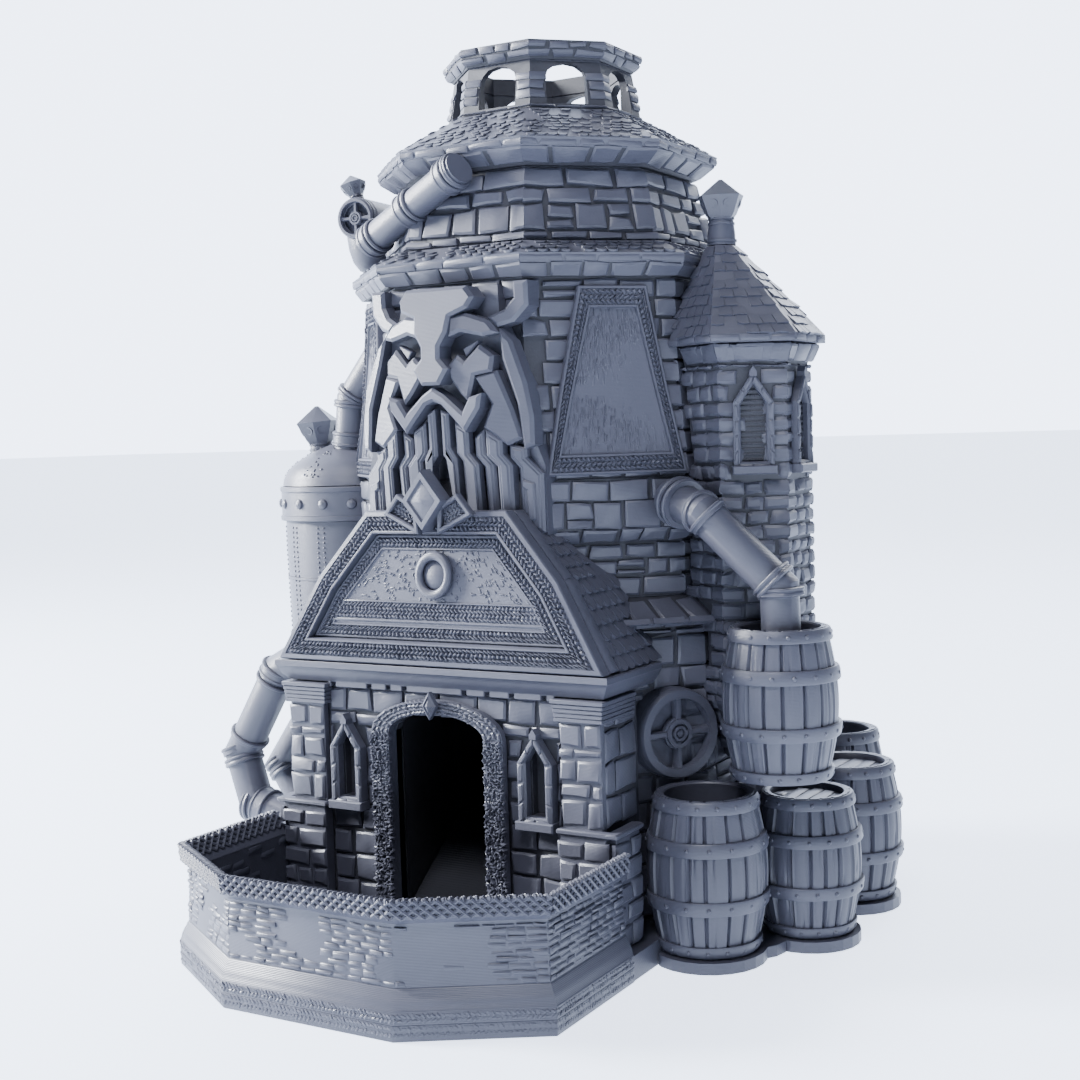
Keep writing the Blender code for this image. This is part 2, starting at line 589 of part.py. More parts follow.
def plinth_clearance(grow=GAP):
    """A block slightly larger than the base plinth, used to trim what stands beside it."""
    ring = [polygon(69.5 * MM + grow, z) for z in (-2 * MM, PLINTH_TOP + grow)]
    block = loft("plinth_clear", ring)
    half = 57.6 * MM + grow
    depth = (-67.4 * MM - grow, -40 * MM)
    return join(block, box("front_clear", (-half, half), depth, (-2 * MM, PLINTH_TOP + grow)))


def pad_disc(radius, sides, centre):
    """One round lobe of the barrels' foot plate."""
    profile = ((0.0, 0.0), (radius, 0.0), (radius, 3.0 * MM), (0.0, 3.0 * MM))
    return turned("pad", profile, sides=sides, phase=0.0, centre=centre)


def barrels(root):
    """Five barrels on a scalloped foot plate."""
    for spec in BARRELS:
        barrel(*spec, root)
    stand = None
    for name, x, y, foot, belly, height, is_open in BARRELS:
        if foot > BARREL_FOOT:
            continue
        pad = pad_disc(belly * 0.94, 24, (x, y))
        stand = pad if stand is None else join(stand, pad)
    for centre in ((78.5, 4.0), (82.0, 34.0), (73.0, -30.0), (72.0, 20.0)):
        join(stand, pad_disc(11 * MM, 16, (centre[0] * MM, centre[1] * MM)))
    cut(stand, plinth_clearance())
    rename(stand, "barrel_stand", root)


def rename(obj, name, parent):
    obj.name = name
    obj.data.name = name
    obj.parent = parent
    obj.matrix_parent_inverse = Matrix.Translation(parent.location).inverted()


def pipe(name, points, radius, collars, parent, trims=(), tint=1.0):
    """A pipe with raised collars, trimmed to what it enters."""
    run = tube(name, points, radius, parent, tint)
    for start, end in collars:
        join(run, tube("collar", (start, end), radius + 0.9 * MM))
    for trim in trims:
        cut(run, trim)
    return run


def along(start, end, distance, length):
    """Two points bounding a collar of some length, at a distance along a run."""
    start = Vector(start)
    direction = (Vector(end) - start).normalized()
    return (start + direction * distance, start + direction * (distance + length))


def collared_run(name, start, end, radius, distances, parent):
    """A straight pipe turned in one piece with its collars, then laid along its run."""
    length = (end - start).length
    swell = radius + 0.9 * MM
    profile = [(0.0, 0.0), (radius, 0.0)]
    for distance in distances:
        near = distance * MM
        far = near + 3.2 * MM
        profile += [(radius, near), (swell, near + 0.3 * MM), (swell, far - 0.3 * MM), (radius, far)]
    profile += [(radius, length), (0.0, length)]
    run = turned(name, profile, sides=18, phase=0.0, parent=parent, tint=1.05)
    turn = (end - start).to_track_quat("Z", "Y").to_matrix().to_4x4()
    run.data.transform(Matrix.Translation(start) @ turn)
    return run


def points_mm(*points):
    return [Vector(point) * MM for point in points]


def pipework(root, storey):
    """The downpipe into the upper barrel, the two drain pipes and the pipes of both boilers."""
    route = points_mm((54.0, -31.0, 121.0), (67.4, -39.5, 117.4), (86.5, -36.0, 98.0), (86.8, -35.5, 78.0))
    collars = [along(route[0], route[1], 6 * MM, 2.4 * MM)]
    collars.append(along(route[1], route[2], -1.4 * MM, 3 * MM))
    collars.append(along(route[2], route[3], -1.4 * MM, 3.4 * MM))
    pipe("downpipe", route, 5.1 * MM, collars, root, (envelope(lower_rings(), GAP),), 1.05)

    route = points_mm((-40.0, -41.0, 88.0), (-75.5, -41.0, 69.0), (-92.0, -41.0, 42.5))
    route += points_mm((-86.0, -42.0, 27.0), (-52.0, -43.0, 18.0))
    collars = [along(route[index], route[index + 1], -2 * MM, 4 * MM) for index in (1, 2)]
    collars.append(along(route[3], route[4], -2 * MM, 5 * MM))
    cornice_clear = box("cornice_clear", (-53.4 * MM, 53.4 * MM), (-75 * MM, -30 * MM), (71.4 * MM, 78.0 * MM))
    trims = (envelope(FOOT_WALL + LEDGE, GAP), cornice_clear, gable_clear())
    pipe("drain_pipe_front", route, 5.4 * MM, collars, root, trims, 1.05)

    route = points_mm((-74.0, -20.0, 62.0), (-93.0, -21.0, 35.0), (-84.0, -22.0, 23.0), (-50.0, -23.0, 16.0))
    collars = (along(route[1], route[2], -2 * MM, 4 * MM),)
    pipe("drain_pipe_rear", route, 4.6 * MM, collars, root, (envelope(FOOT_WALL, GAP), boiler_clear()), 1.0)

    route = points_mm((-63.2, -18.0, 137.0), (-61.2, -18.4, 152.0), (-49.4, -16.8, 168.0))
    collars = (along(route[0], route[1], 0.4 * MM, 4 * MM),)
    pipe("boiler_pipe", route, 4.6 * MM, collars, root, (envelope(MAIN_WALL, GAP), dome_clear()), 1.0)

    start, end = points_mm((-38.0, -38.5, 196.1), (1.6, -49.7, 212.4))
    run = collared_run("tank_pipe", start, end, 4.4 * MM, (1.3, 19.4, 38.1), storey)
    cut(run, envelope(LOWER_EAVE + DRUM_WALL + UPPER_ROOF[:3], GAP, top=222 * MM))


def gable_clear():
    outline = mirrored(tuple((x + 3 * GAP, z) for x, z in GABLE_OUTLINE))
    return slab("gable_clear", outline, -72 * MM, -20 * MM)


def boiler_clear():
    reach = BOILER_RADIUS + GAP
    profile = ((0.0, 59.0 * MM), (reach, 59.0 * MM), (reach, 90 * MM), (0.0, 90 * MM))
    return turned("boiler_clear", profile, sides=24, phase=0.0, centre=BOILER_AXIS)


def dome_profile(grow=0.0):
    """The boiler's domed lid from its rim to its crown."""
    base = BOILER_BAND[1] + GAP
    profile = [(0.0, base)]
    for step in range(7):
        angle = pi / 2 * step / 6
        reach = (BOILER_RADIUS + 0.6 * MM) * cos(angle) ** 1.5 + grow
        profile.append((reach, base + (14.0 * MM + grow) * sin(angle)))
    profile[-1] = (0.0, base + 14.0 * MM + grow)
    return profile


def dome_clear():
    return turned("dome_clear", dome_profile(GAP), sides=24, phase=0.0, centre=BOILER_AXIS)


def boiler(root):
    """The upright riveted boiler on the left: body, hoop, domed lid and crystal chimney."""
    options = {"sides": 24, "phase": 0.0, "centre": BOILER_AXIS, "parent": root}
    top = BOILER_BAND[0] - GAP
    foot = ((0.0, 60.0 * MM), (13.0 * MM, 60.0 * MM), (20.6 * MM, 66.0 * MM))
    profile = foot + ((BOILER_RADIUS, top), (0.0, top))
    body = turned("boiler_body", profile, **options)
    cut(body, envelope(lower_rings(), GAP))
    cut(body, gable_clear())
    low, high = BOILER_BAND
    hoop_profile = ((0.0, low), (23.6 * MM, low), (23.6 * MM, high), (0.0, high))
    hoop = turned("boiler_hoop", hoop_profile, tint=1.05, **options)
    cut(hoop, envelope(lower_rings(), GAP))
    dome = turned("boiler_dome", dome_profile(), **options)
    cut(dome, envelope(lower_rings(), GAP))
    foot = (-76.8 * MM, -14.0 * MM, 130.0 * MM)
    pot = chimney("boiler_chimney", foot, 4.0 * MM, 7.4 * MM, 20.4 * MM, root, radians(-5))
    cut(pot, dome_clear())


def tank(storey):
    """The small lying tank on the upper storey, with its spoked end and its own chimney."""
    face = Vector((-55.2 * MM, -20.4 * MM, 207.0 * MM))
    turn = radians(6)
    body = disc("upper_tank", face, turn, 6.4 * MM, 24.0 * MM, storey)
    bowl = ((0.0, 190.8), (3.6, 192.0), (6.6, 197.5), (7.3, 205.0), (6.3, 209.0), (0.0, 210.0))
    bowl_profile = tuple((radius * MM, z * MM) for radius, z in bowl)
    join(body, turned("bowl", bowl_profile, sides=16, phase=0.0, centre=(-55.8 * MM, -12.8 * MM)))
    cut(body, envelope(LOWER_EAVE + DRUM_WALL + UPPER_ROOF[:3], GAP, top=222 * MM))
    rim = face + Vector((0, -0.4 * MM, 0))
    ring_plate("upper_tank_wheel", rim, turn, 6.3 * MM, 4.6 * MM, 1.4 * MM, storey)
    foot = (-58.2 * MM, -14.0 * MM, 210.0 * MM)
    pot = chimney("upper_tank_chimney", foot, 2.2 * MM, 4.4 * MM, 12.0 * MM, storey, radians(-18))
    clear = disc("tank_clear", face + Vector((0, 1 * MM, 0)), turn, 6.4 * MM + GAP, 26.0 * MM)
    cut(pot, clear)


def tray_path(inset):
    """Plan of the tray's wall line, from its right rear end round the front to the left rear end."""
    half = TRAY_HALF_WIDTH - inset
    front = TRAY_FRONT + inset
    corner_x = TRAY_HALF_WIDTH - TRAY_CORNER[0] - inset * 0.30
    corner_y = TRAY_FRONT + TRAY_CORNER[1] + inset * 0.53
    right = [(half, TRAY_REAR), (half, corner_y), (corner_x, front)]
    return right + [(-x, y) for x, y in reversed(right)]


def tray_band(name, profile, parent, tint=1.0):
    """Carries an (inset, height) profile round the tray's open plan, with closed ends."""
    bm = bmesh.new()
    rows = []
    for inset, z in profile:
        rows.append([bm.verts.new((x, y, z * MM)) for x, y in tray_path(inset * MM)])
    count = len(rows)
    for index in range(count):
        lower = rows[index]
        upper = rows[(index + 1) % count]
        for step in range(len(lower) - 1):
            bm.faces.new((lower[step], lower[step + 1], upper[step + 1], upper[step]))
    bm.faces.new([row[0] for row in rows])
    bm.faces.new([row[-1] for row in rows])
    return add_mesh(name, bm, parent, tint)


def tray(slide):
    """The dice tray: a floor with its moulded foot, the wall and the woven rim."""
    outline = tray_path(0.0)
    rings = [[Vector((x, y, z)) for x, y in outline] for z in (0.0, TRAY_FLOOR_TOP)]
    loft("tray_floor", rings, slide, 0.9)
    tray_band("tray_foot", ((0.0, 4.35), (0.0, 7.3), (2.2, 12.0), (5.4, 12.0), (5.4, 4.35)), slide, 1.0)
    tray_band("tray_wall", ((2.2, 12.4), (2.6, 27.0), (5.6, 27.0), (5.4, 12.4)), slide, 1.0)
    tray_band("tray_rim", ((2.6, 27.4), (0.0, 33.6), (2.8, 33.6), (5.6, 27.4)), slide, 1.05)


def main():
    clear_scene()
    root = empty("tower_frame", (0.0, 0.0, 0.0))
    storey = empty("upper_storey_lift", (0.0, 0.0, 198.0 * MM))
    slide = empty("tray_slide", (0.0, TRAY_REAR, 0.0))
    tower_shells(root, storey)
    interior(root)
    gatehouse(root)
    reliefs(root)
    turret(root)
    barrels(root)
    boiler(root)
    pipework(root, storey)
    tank(storey)
    tray(slide)


main()
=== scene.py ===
"""Dice tower: the printed look of every piece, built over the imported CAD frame.

All shapes are written in millimetres in the CAD's own frame: +Z up, the gate faces -Y.
"""

import bmesh
import bpy
import numpy as np
from math import atan2, cos, hypot, pi, radians, sin, sqrt
from mathutils import Matrix, Vector


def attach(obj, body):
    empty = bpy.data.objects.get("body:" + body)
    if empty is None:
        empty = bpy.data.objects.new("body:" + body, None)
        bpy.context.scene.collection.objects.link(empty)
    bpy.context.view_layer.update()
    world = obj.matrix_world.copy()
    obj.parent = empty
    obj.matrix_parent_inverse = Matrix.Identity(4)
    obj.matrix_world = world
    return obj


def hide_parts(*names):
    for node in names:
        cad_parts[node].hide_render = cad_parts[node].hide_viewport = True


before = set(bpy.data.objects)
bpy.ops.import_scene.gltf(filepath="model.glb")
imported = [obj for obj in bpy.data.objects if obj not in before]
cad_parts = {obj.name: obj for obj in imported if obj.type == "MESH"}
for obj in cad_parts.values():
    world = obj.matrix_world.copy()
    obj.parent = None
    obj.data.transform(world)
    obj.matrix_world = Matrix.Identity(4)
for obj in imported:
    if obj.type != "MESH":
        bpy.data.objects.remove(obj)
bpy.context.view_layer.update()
rng = np.random.default_rng(7)
MM = 0.001
UP = (0, 0, 1)
EIGHTH = pi / 8
TOWER = {"sides": 8, "phase": EIGHTH, "centre": (0, 0)}
TURRET = {"sides": 6, "phase": 0, "centre": (67.4, -10.5)}
BASE_COLOUR = (0.0545, 0.0560, 0.0750)

# Tower rings as (corner radius, height), from the ground up.
FOOT_WALL = ((65.8, 6.8), (65, 86.2))
LEDGE = ((67.6, 86.6), (69.6, 87.8), (58.6, 93.8))
MIDDLE_WALL = ((57.8, 94.2), (58.2, 109), (61.3, 112.8), (61.6, 126.8))
MAIN_WALL = ((60.6, 127.2), (57.6, 150), (56.4, 166), (56.4, 181))
LOWER_EAVE = ((57.4, 181.4), (60.3, 184.8), (60.5, 187.3), (50.9, 191.6))
DRUM_WALL = ((50.6, 192), (45, 212.2))
UPPER_ROOF = ((45.4, 212.6), (51.3, 216.6), (51.5, 219.2), (30.4, 230.8))
CUPOLA_WALL = ((29.8, 231.2), (27.4, 244.6))
CUPOLA_RIM = ((27.8, 245), (29.8, 247.4), (30, 250))


# ---------------------------------------------------------------- materials

def node(tree, kind, **inputs):
    made = tree.nodes.new(kind)
    for key, value in inputs.items():
        made.inputs[key.replace("_", " ")].default_value = value
    return made


def plastic(name, tint=1, roughness=0.44, grain=0.25, layers=0.35, blotch=0.10):
    """Satin grey printed plastic: layer lines, fine grain and slight cloudiness."""
    mat = bpy.data.materials.new(name)
    mat.use_nodes = True
    tree = mat.node_tree
    link = tree.links.new
    shader = tree.nodes["Principled BSDF"]
    place = tree.nodes.new("ShaderNodeTexCoord")
    cloud = node(tree, "ShaderNodeTexNoise", Scale=55, Detail=4, Roughness=0.6)
    link(place.outputs["Object"], cloud.inputs["Vector"])
    ramp = tree.nodes.new("ShaderNodeValToRGB")
    base = np.array(BASE_COLOUR) * tint
    ramp.color_ramp.elements[0].position = 0.3
    ramp.color_ramp.elements[0].color = (*(base * (1 - blotch)), 1)
    ramp.color_ramp.elements[1].position = 0.7
    ramp.color_ramp.elements[1].color = (*(base * (1 + blotch)), 1)
    link(cloud.outputs["Fac"], ramp.inputs["Fac"])
    link(ramp.outputs["Color"], shader.inputs["Base Color"])
    spread = tree.nodes.new("ShaderNodeMapRange")
    spread.inputs["To Min"].default_value = roughness - 0.05
    spread.inputs["To Max"].default_value = roughness + 0.07
    link(cloud.outputs["Fac"], spread.inputs["Value"])
    link(spread.outputs["Result"], shader.inputs["Roughness"])
    lines = node(tree, "ShaderNodeTexWave", Scale=900, Distortion=0.6, Detail=1)
    lines.bands_direction = "Z"
    link(place.outputs["Object"], lines.inputs["Vector"])
    specks = node(tree, "ShaderNodeTexNoise", Scale=1500, Detail=3, Roughness=0.6)
    link(place.outputs["Object"], specks.inputs["Vector"])
    first = node(tree, "ShaderNodeBump", Strength=layers, Distance=0.00006)
    link(lines.outputs["Fac"], first.inputs["Height"])
    second = node(tree, "ShaderNodeBump", Strength=grain, Distance=0.00018)
    link(specks.outputs["Fac"], second.inputs["Height"])
    link(first.outputs["Normal"], second.inputs["Normal"])
    link(second.outputs["Normal"], shader.inputs["Normal"])
    shader.inputs["Specular IOR Level"].default_value = 0.5
    return mat


LOOKS = {
    "stone": plastic("hewn_stone_plastic"),
    "smooth": plastic("smooth_plastic", 1, 0.40, 0.12, 0.5, 0.06),
    "knit": plastic("woven_relief_plastic", 1.02, 0.42, 0.2, 0.25, 0.08),
    "wood": plastic("barrel_plastic", 0.98, 0.40, 0.22, 0.4, 0.12),
    "crystal": plastic("crystal_plastic", 0.92, 0.32, 0.1, 0.3, 0.06),
    # Darker tint for joint and recess faces: painted shade for the shadow in deep joints, where the real
    # plastic is the same grey.
    "painted_shade": plastic("painted_shade_plastic", 0.40, 0.6, 0.3, 0.2, 0.12),
    # Much darker tint for the inner parts: painted shade for the interior, where little light reaches.
    "inside": plastic("inner_painted_shade_plastic", 0.26, 0.7, 0.2, 0.6, 0.06),
}


# ---------------------------------------------------------------- solids

def field(points, size, seed=0):
    """Smooth offsets from -1 to 1 on each axis that depend on position alone."""
    cell = np.asarray(points, float) / size + 512
    low = np.floor(cell).astype(np.int64)
    part = cell - low
    part = part * part * (3 - 2 * part)
    total = np.zeros_like(cell)
    for corner in range(8):
        bits = np.array([(corner >> axis) & 1 for axis in range(3)])
        weight = np.prod(np.where(bits, part, 1 - part), axis=1)
        place = low + bits
        key = place[:, 0] * 73856093 ^ place[:, 1] * 19349663 ^ place[:, 2] * 83492791
        for axis in range(3):
            mixed = (key + (seed * 7 + axis + 1) * 374761393) & 0xFFFFFFFF
            mixed = ((mixed ^ (mixed >> 13)) * 1274126177) & 0xFFFFFFFF
            mixed = (mixed ^ (mixed >> 16)) & 0xFFFF
            total[:, axis] += weight * (mixed / 32767.5 - 1)
    return total


def around(count):
    """Evenly spaced angles round a full turn."""
    return [2 * pi * k / count for k in range(count)]


def facing(angle):
    """The outward and the sideways direction of a wall turned by an angle from the front."""
    return np.array((sin(angle), -cos(angle), 0)), np.array((cos(angle), sin(angle), 0))


def unit(vector):
    vector = np.asarray(vector, float)
    return vector / np.linalg.norm(vector)


class Solid:
    """Collects closed islands, in millimetres, that become one object."""

    def __init__(self):
        self.points = []
        self.faces = []
        self.joints = []
        self.count = 0

    def add(self, points, faces, joint=False):
        """Adds an island; faces flagged as recessed joints take the darker material, painted shade for the
        shadow in them.
        """
        points = np.asarray(points, float).reshape(-1, 3)
        self.points.append(points)
        for face in faces:
            self.faces.append(tuple(index + self.count for index in face))
        self.joints += list(joint) if isinstance(joint, list) else [bool(joint)] * len(faces)
        self.count += len(points)

    def grid(self, rows, ring=False):
        """Rings of points joined into a skin, with flat ends or with the last ring joined to the first."""
        rows = np.asarray(rows, float)
        count, width = rows.shape[:2]
        faces = []
        for row in range(count if ring else count - 1):
            a = row * width
            b = (row + 1) % count * width
            for column in range(width):
                following = (column + 1) % width
                faces.append((a + column, a + following, b + following, b + column))
        if not ring:
            faces.append(tuple(range(width))[::-1])
            faces.append(tuple(range((count - 1) * width, count * width)))
        self.add(rows.reshape(-1, 3), faces)

    def make(self, node_name, ending, look="stone", body="tower", sharp=32, merge=False, name=None):
        """Turns the islands into one piece in place of a CAD node."""
        name = name or node_name + "_" + ending
        mesh = bpy.data.meshes.new(name)
        points = np.concatenate(self.points) * MM
        mesh.from_pydata(points.tolist(), [], self.faces)
        mesh.materials.append(LOOKS[look])
        # Flagged faces take the darker material: painted shade in joints and recesses.
        if any(self.joints):
            mesh.materials.append(LOOKS["painted_shade"])
            mesh.polygons.foreach_set("material_index", [int(flag) for flag in self.joints])
        work = bmesh.new()
        work.from_mesh(mesh)
        if merge:
            bmesh.ops.remove_doubles(work, verts=work.verts, dist=0.000002)
        bmesh.ops.recalc_face_normals(work, faces=work.faces)
        work.to_mesh(mesh)
        work.free()
        mesh.shade_smooth()
        mesh.set_sharp_from_angle(angle=radians(sharp))
        piece = bpy.data.objects.new(name, mesh)
        bpy.context.scene.collection.objects.link(piece)
        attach(piece, body)
        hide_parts(node_name)


def cad_shape(name):
    """A CAD node's corners, in millimetres, and its faces."""
    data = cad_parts[name].data
    points = np.array([vertex.co for vertex in data.vertices], float) / MM
    return points, [tuple(face.vertices) for face in data.polygons]


def backing(solid, name, depth, inside, high=999):
    """A CAD ring's own shape with its outer skin drawn in by the joints' depth; its faces below high take the
    darker material, painted shade for the shadow deep in the joints.
    """
    points, faces = cad_shape(name)
    reach = np.hypot(points[:, 0], points[:, 1])
    outer = (reach > inside) & (points[:, 2] < high)
    points[:, :2] *= np.where(outer, (reach - depth) / np.maximum(reach, 0.001), 1)[:, None]
    solid.add(points, faces, [bool(np.all(points[list(face), 2] < high)) for face in faces])


class Patch:
    """A four-cornered face: s and t run from 0 to 1 across and up it, h stands off it."""

    def __init__(self, low_left, low_right, high_left, high_right, out):
        corners = [np.asarray(corner, float) for corner in (low_left, low_right, high_left, high_right)]
        self.corners = corners
        across = corners[1] - corners[0] + corners[3] - corners[2]
        up = corners[2] + corners[3] - corners[0] - corners[1]
        self.normal = unit(np.cross(across, up))
        if np.dot(self.normal, out) < 0:
            self.normal = -self.normal
        self.width = np.linalg.norm(across) / 2
        self.height = np.linalg.norm(up) / 2

    def at(self, s, t, h=0):
        s = np.asarray(s, float)[..., None]
        t = np.asarray(t, float)[..., None]
        a, b, c, d = self.corners
        level = a * (1 - s) * (1 - t) + b * s * (1 - t) + c * (1 - s) * t + d * s * t
        return level + np.asarray(h, float)[..., None] * self.normal


def stone(solid, patch, s, t, top=0, base=-1.6, joint=1, edges=(1, 1, 1, 1), bevel=0.6,
          drop=0.45, tilt=0.16, chip=0.24, cells=(3, 2)):
    """One hewn block on a patch. Edges say which of left, right, low and high are joints."""
    scale = np.array((patch.width, patch.height))
    half = joint / 2 / scale
    s0, s1 = s[0] + half[0] * edges[0], s[1] - half[0] * edges[1]
    t0, t1 = t[0] + half[1] * edges[2], t[1] - half[1] * edges[3]
    wide, tall = (s1 - s0) * scale[0], (t1 - t0) * scale[1]
    if wide < 0.5 or tall < 0.5:
        return
    rim = min(bevel, wide * 0.3), min(bevel, tall * 0.3)
    us = np.concatenate(([0], np.linspace(rim[0] / wide, 1 - rim[0] / wide, cells[0]), [1]))
    vs = np.concatenate(([0], np.linspace(rim[1] / tall, 1 - rim[1] / tall, cells[1]), [1]))
    u, v = np.meshgrid(us, vs)
    jitter = rng.uniform(-0.5, 0.5, (2, 2, 2)) * joint * 0.8
    weights = ((1 - u) * (1 - v), u * (1 - v), (1 - u) * v, u * v)
    shift_s = sum(w * jitter[0].flat[k] for k, w in enumerate(weights)) / scale[0]
    shift_t = sum(w * jitter[1].flat[k] for k, w in enumerate(weights)) / scale[1]
    ease_s = np.where(u < 0.5, edges[0], edges[1]) * np.abs(2 * u - 1)
    ease_t = np.where(v < 0.5, edges[2], edges[3]) * np.abs(2 * v - 1)
    ss = s0 + u * (s1 - s0) + shift_s * ease_s
    tt = t0 + v * (t1 - t0) + shift_t * ease_t
    height = np.full_like(u, top) + rng.uniform(-0.5, 0.5) * tilt
    if edges[0] and edges[1]:
        height += rng.uniform(-tilt, tilt) * (u - 0.5)
        height += rng.uniform(-tilt, tilt) * (v - 0.5) * 1.4
    border = np.zeros_like(u, bool)
    for line, edge in zip((u == 0, u == 1, v == 0, v == 1), edges):
        border |= line & bool(edge)
    height = height - np.where(border, drop, 0)
    skin = patch.at(ss, tt, height).reshape(-1, 3)
    skin = skin + field(skin, 2.6, 3) * chip + field(skin, 0.9, 5) * chip * 0.35
    rows, columns = u.shape
    index = np.arange(rows * columns).reshape(rows, columns)
    ring = list(index[0, :]) + list(index[1:, -1]) + list(index[-1, -2::-1]) + list(index[-2:0:-1, 0])
    foot = patch.at(ss, tt, np.full_like(u, base)).reshape(-1, 3)[ring]
    faces = []
    for row in range(rows - 1):
        for column in range(columns - 1):
            a = index[row, column]
            b = index[row + 1, column]
            faces.append((a, a + 1, b + 1, b))
    start = rows * columns
    count = len(ring)
    for k in range(count):
        following = (k + 1) % count
        faces.append((ring[following], ring[k], start + k, start + following))
    faces.append(tuple(start + k for k in range(count))[::-1])
    solid.add(np.concatenate((skin, foot)), faces)


def seal(solid, radius, z):
    """A hidden ring across the joint between two tiers, so no light shows through it."""
    profile = ((radius, z - 0.8), (radius, z + 0.8), (radius - 1, z + 0.8), (radius - 1, z - 0.8))
    solid.grid([[ring_corner(reach, height, index) for index in range(8)] for reach, height in profile],
               ring=True)


def radius_at(rings, z):
    return float(np.interp(z, [ring[1] for ring in rings], [ring[0] for ring in rings]))


def ring_corner(radius, z, index, sides=8, phase=EIGHTH, centre=(0, 0)):
    angle = phase + 2 * pi * index / sides
    return np.array((centre[0] + radius * sin(angle), centre[1] - radius * cos(angle), z))


def ring_patch(rings, index, z0, z1, sides=8, phase=EIGHTH, centre=(0, 0)):
    """The face between corners index - 1 and index, between two heights."""
    spots = []
    for z in (z0, z1):
        spots += [ring_corner(radius_at(rings, z), z, k, sides, phase, centre) for k in (index - 1, index)]
    middle = sum(spots) / 4 - np.array((*centre, (z0 + z1) / 2))
    return Patch(*spots, out=middle)


def splits(width, length, odd):
    """Where the upright joints fall across a face, as fractions."""
    count = max(1, round(width / length + (0.5 if odd else 0)))
    steps = rng.uniform(0.75, 1.25, count)
    if odd and count > 1:
        steps[0] *= 0.62
        steps[-1] *= 0.62
    ends = np.concatenate(([0], np.cumsum(steps)))
    return ends / ends[-1]


def course(solid, rings, z0, z1, length, skip=None, split=0, shape=TOWER, upright=(1, 1), **looks):
    """One course of stones round a ring, with whole stones at the corners."""
    odd = rng.random() < 0.5
    for index in range(8):
        patch = ring_patch(rings, index, z0, z1, **shape)
        cuts = splits(patch.width, length, odd)
        count = len(cuts) - 1
        for k in range(count):
            pair = (cuts[k], cuts[k + 1])
            if skip is not None and skip(patch.at(sum(pair) / 2, 0.5)):
                continue
            edges = (int(k > 0), int(k < count - 1), *upright)
            levels = (0, 1)
            if 0 < k < count - 1 and rng.random() < split:
                levels = (0, rng.uniform(0.4, 0.6), 1)
            for span in zip(levels, levels[1:]):
                stone(solid, patch, pair, span, edges=edges, **looks)


# ---------------------------------------------------------------- tower

ROOF_EDGE = {"tilt": 0.1, "drop": 0.3, "joint": 0.8}


def behind_gate(point):
    """Where the gatehouse and its roof hide the tower's front."""
    x, y, z = point
    return y < -20 and z < 113 and abs(x) < 44 - max(0, z - 78) * 0.62


def behind_mask(point):
    x, y, z = point
    return y < -50 and abs(x) < 24 and 112 < z < 172


def scales(solid, patch, wide, tall, thick, sparse=0, rounded=True):
    """Courses of small tiles whose lower ends stand proud of the slope."""
    rows = max(1, round(patch.height / tall))
    for row in range(rows):
        t1 = 1 - row / rows
        t0 = t1 - 1.12 / rows
        low = np.linalg.norm(patch.at(1, t0) - patch.at(0, t0))
        count = max(1, round(low / wide))
        for column in range(count + (row % 2)):
            if rng.random() < sparse:
                continue
            middle = (column + (0 if row % 2 else 0.5)) / count
            half = 0.47 / count
            if middle - half < -0.01 or middle + half > 1.01:
                continue
            rise = thick * rng.uniform(0.7, 1.2)
            outline = []
            steps = 6 if rounded else 2
            for k in range(steps + 1):
                angle = pi * k / steps
                if rounded:
                    outline.append((middle + half * cos(angle), t0 + (1 - sin(angle)) * 0.5 / rows, rise))
                else:
                    outline.append((middle + half * (1 - k), t0 + rng.uniform(0, 0.14) / rows, rise))
            outline.append((middle - half, t1, 0.06))
            outline.append((middle + half, t1, 0.06))
            outline = np.array(outline)
            upper = patch.at(outline[:, 0], outline[:, 1], outline[:, 2])
            lower = patch.at(outline[:, 0], outline[:, 1], np.full(len(outline), -0.6))
            upper = upper + field(upper, 1.6, 9) * 0.14
            size = len(outline)
            faces = [tuple(range(size)), tuple(range(size, 2 * size))[::-1]]
            for k in range(size):
                following = (k + 1) % size
                faces.append((k, k + size, following + size, following))
            solid.add(np.concatenate((upper, lower)), faces)


def tier(name, rings, depth, inside, courses, seal_at=None, tiles=None, high=999, body="tower"):
    """A tier of wall: backing, courses as (top, stone length, looks) from the ground up, roof tiles."""
    solid = Solid()
    backing(solid, name, depth, inside, high)
    if seal_at:
        seal(solid, *seal_at)
    z = rings[0][1]
    for top, length, looks in courses:
        course(solid, rings, z, top, length, **looks)
        z = top
    if tiles:
        low, top, wide, tall, thick = tiles
        for index in range(8):
            scales(solid, ring_patch(rings, index, low, top), wide, tall, thick, 0.3)
    solid.make(name, "masonry", body=body, merge=True)


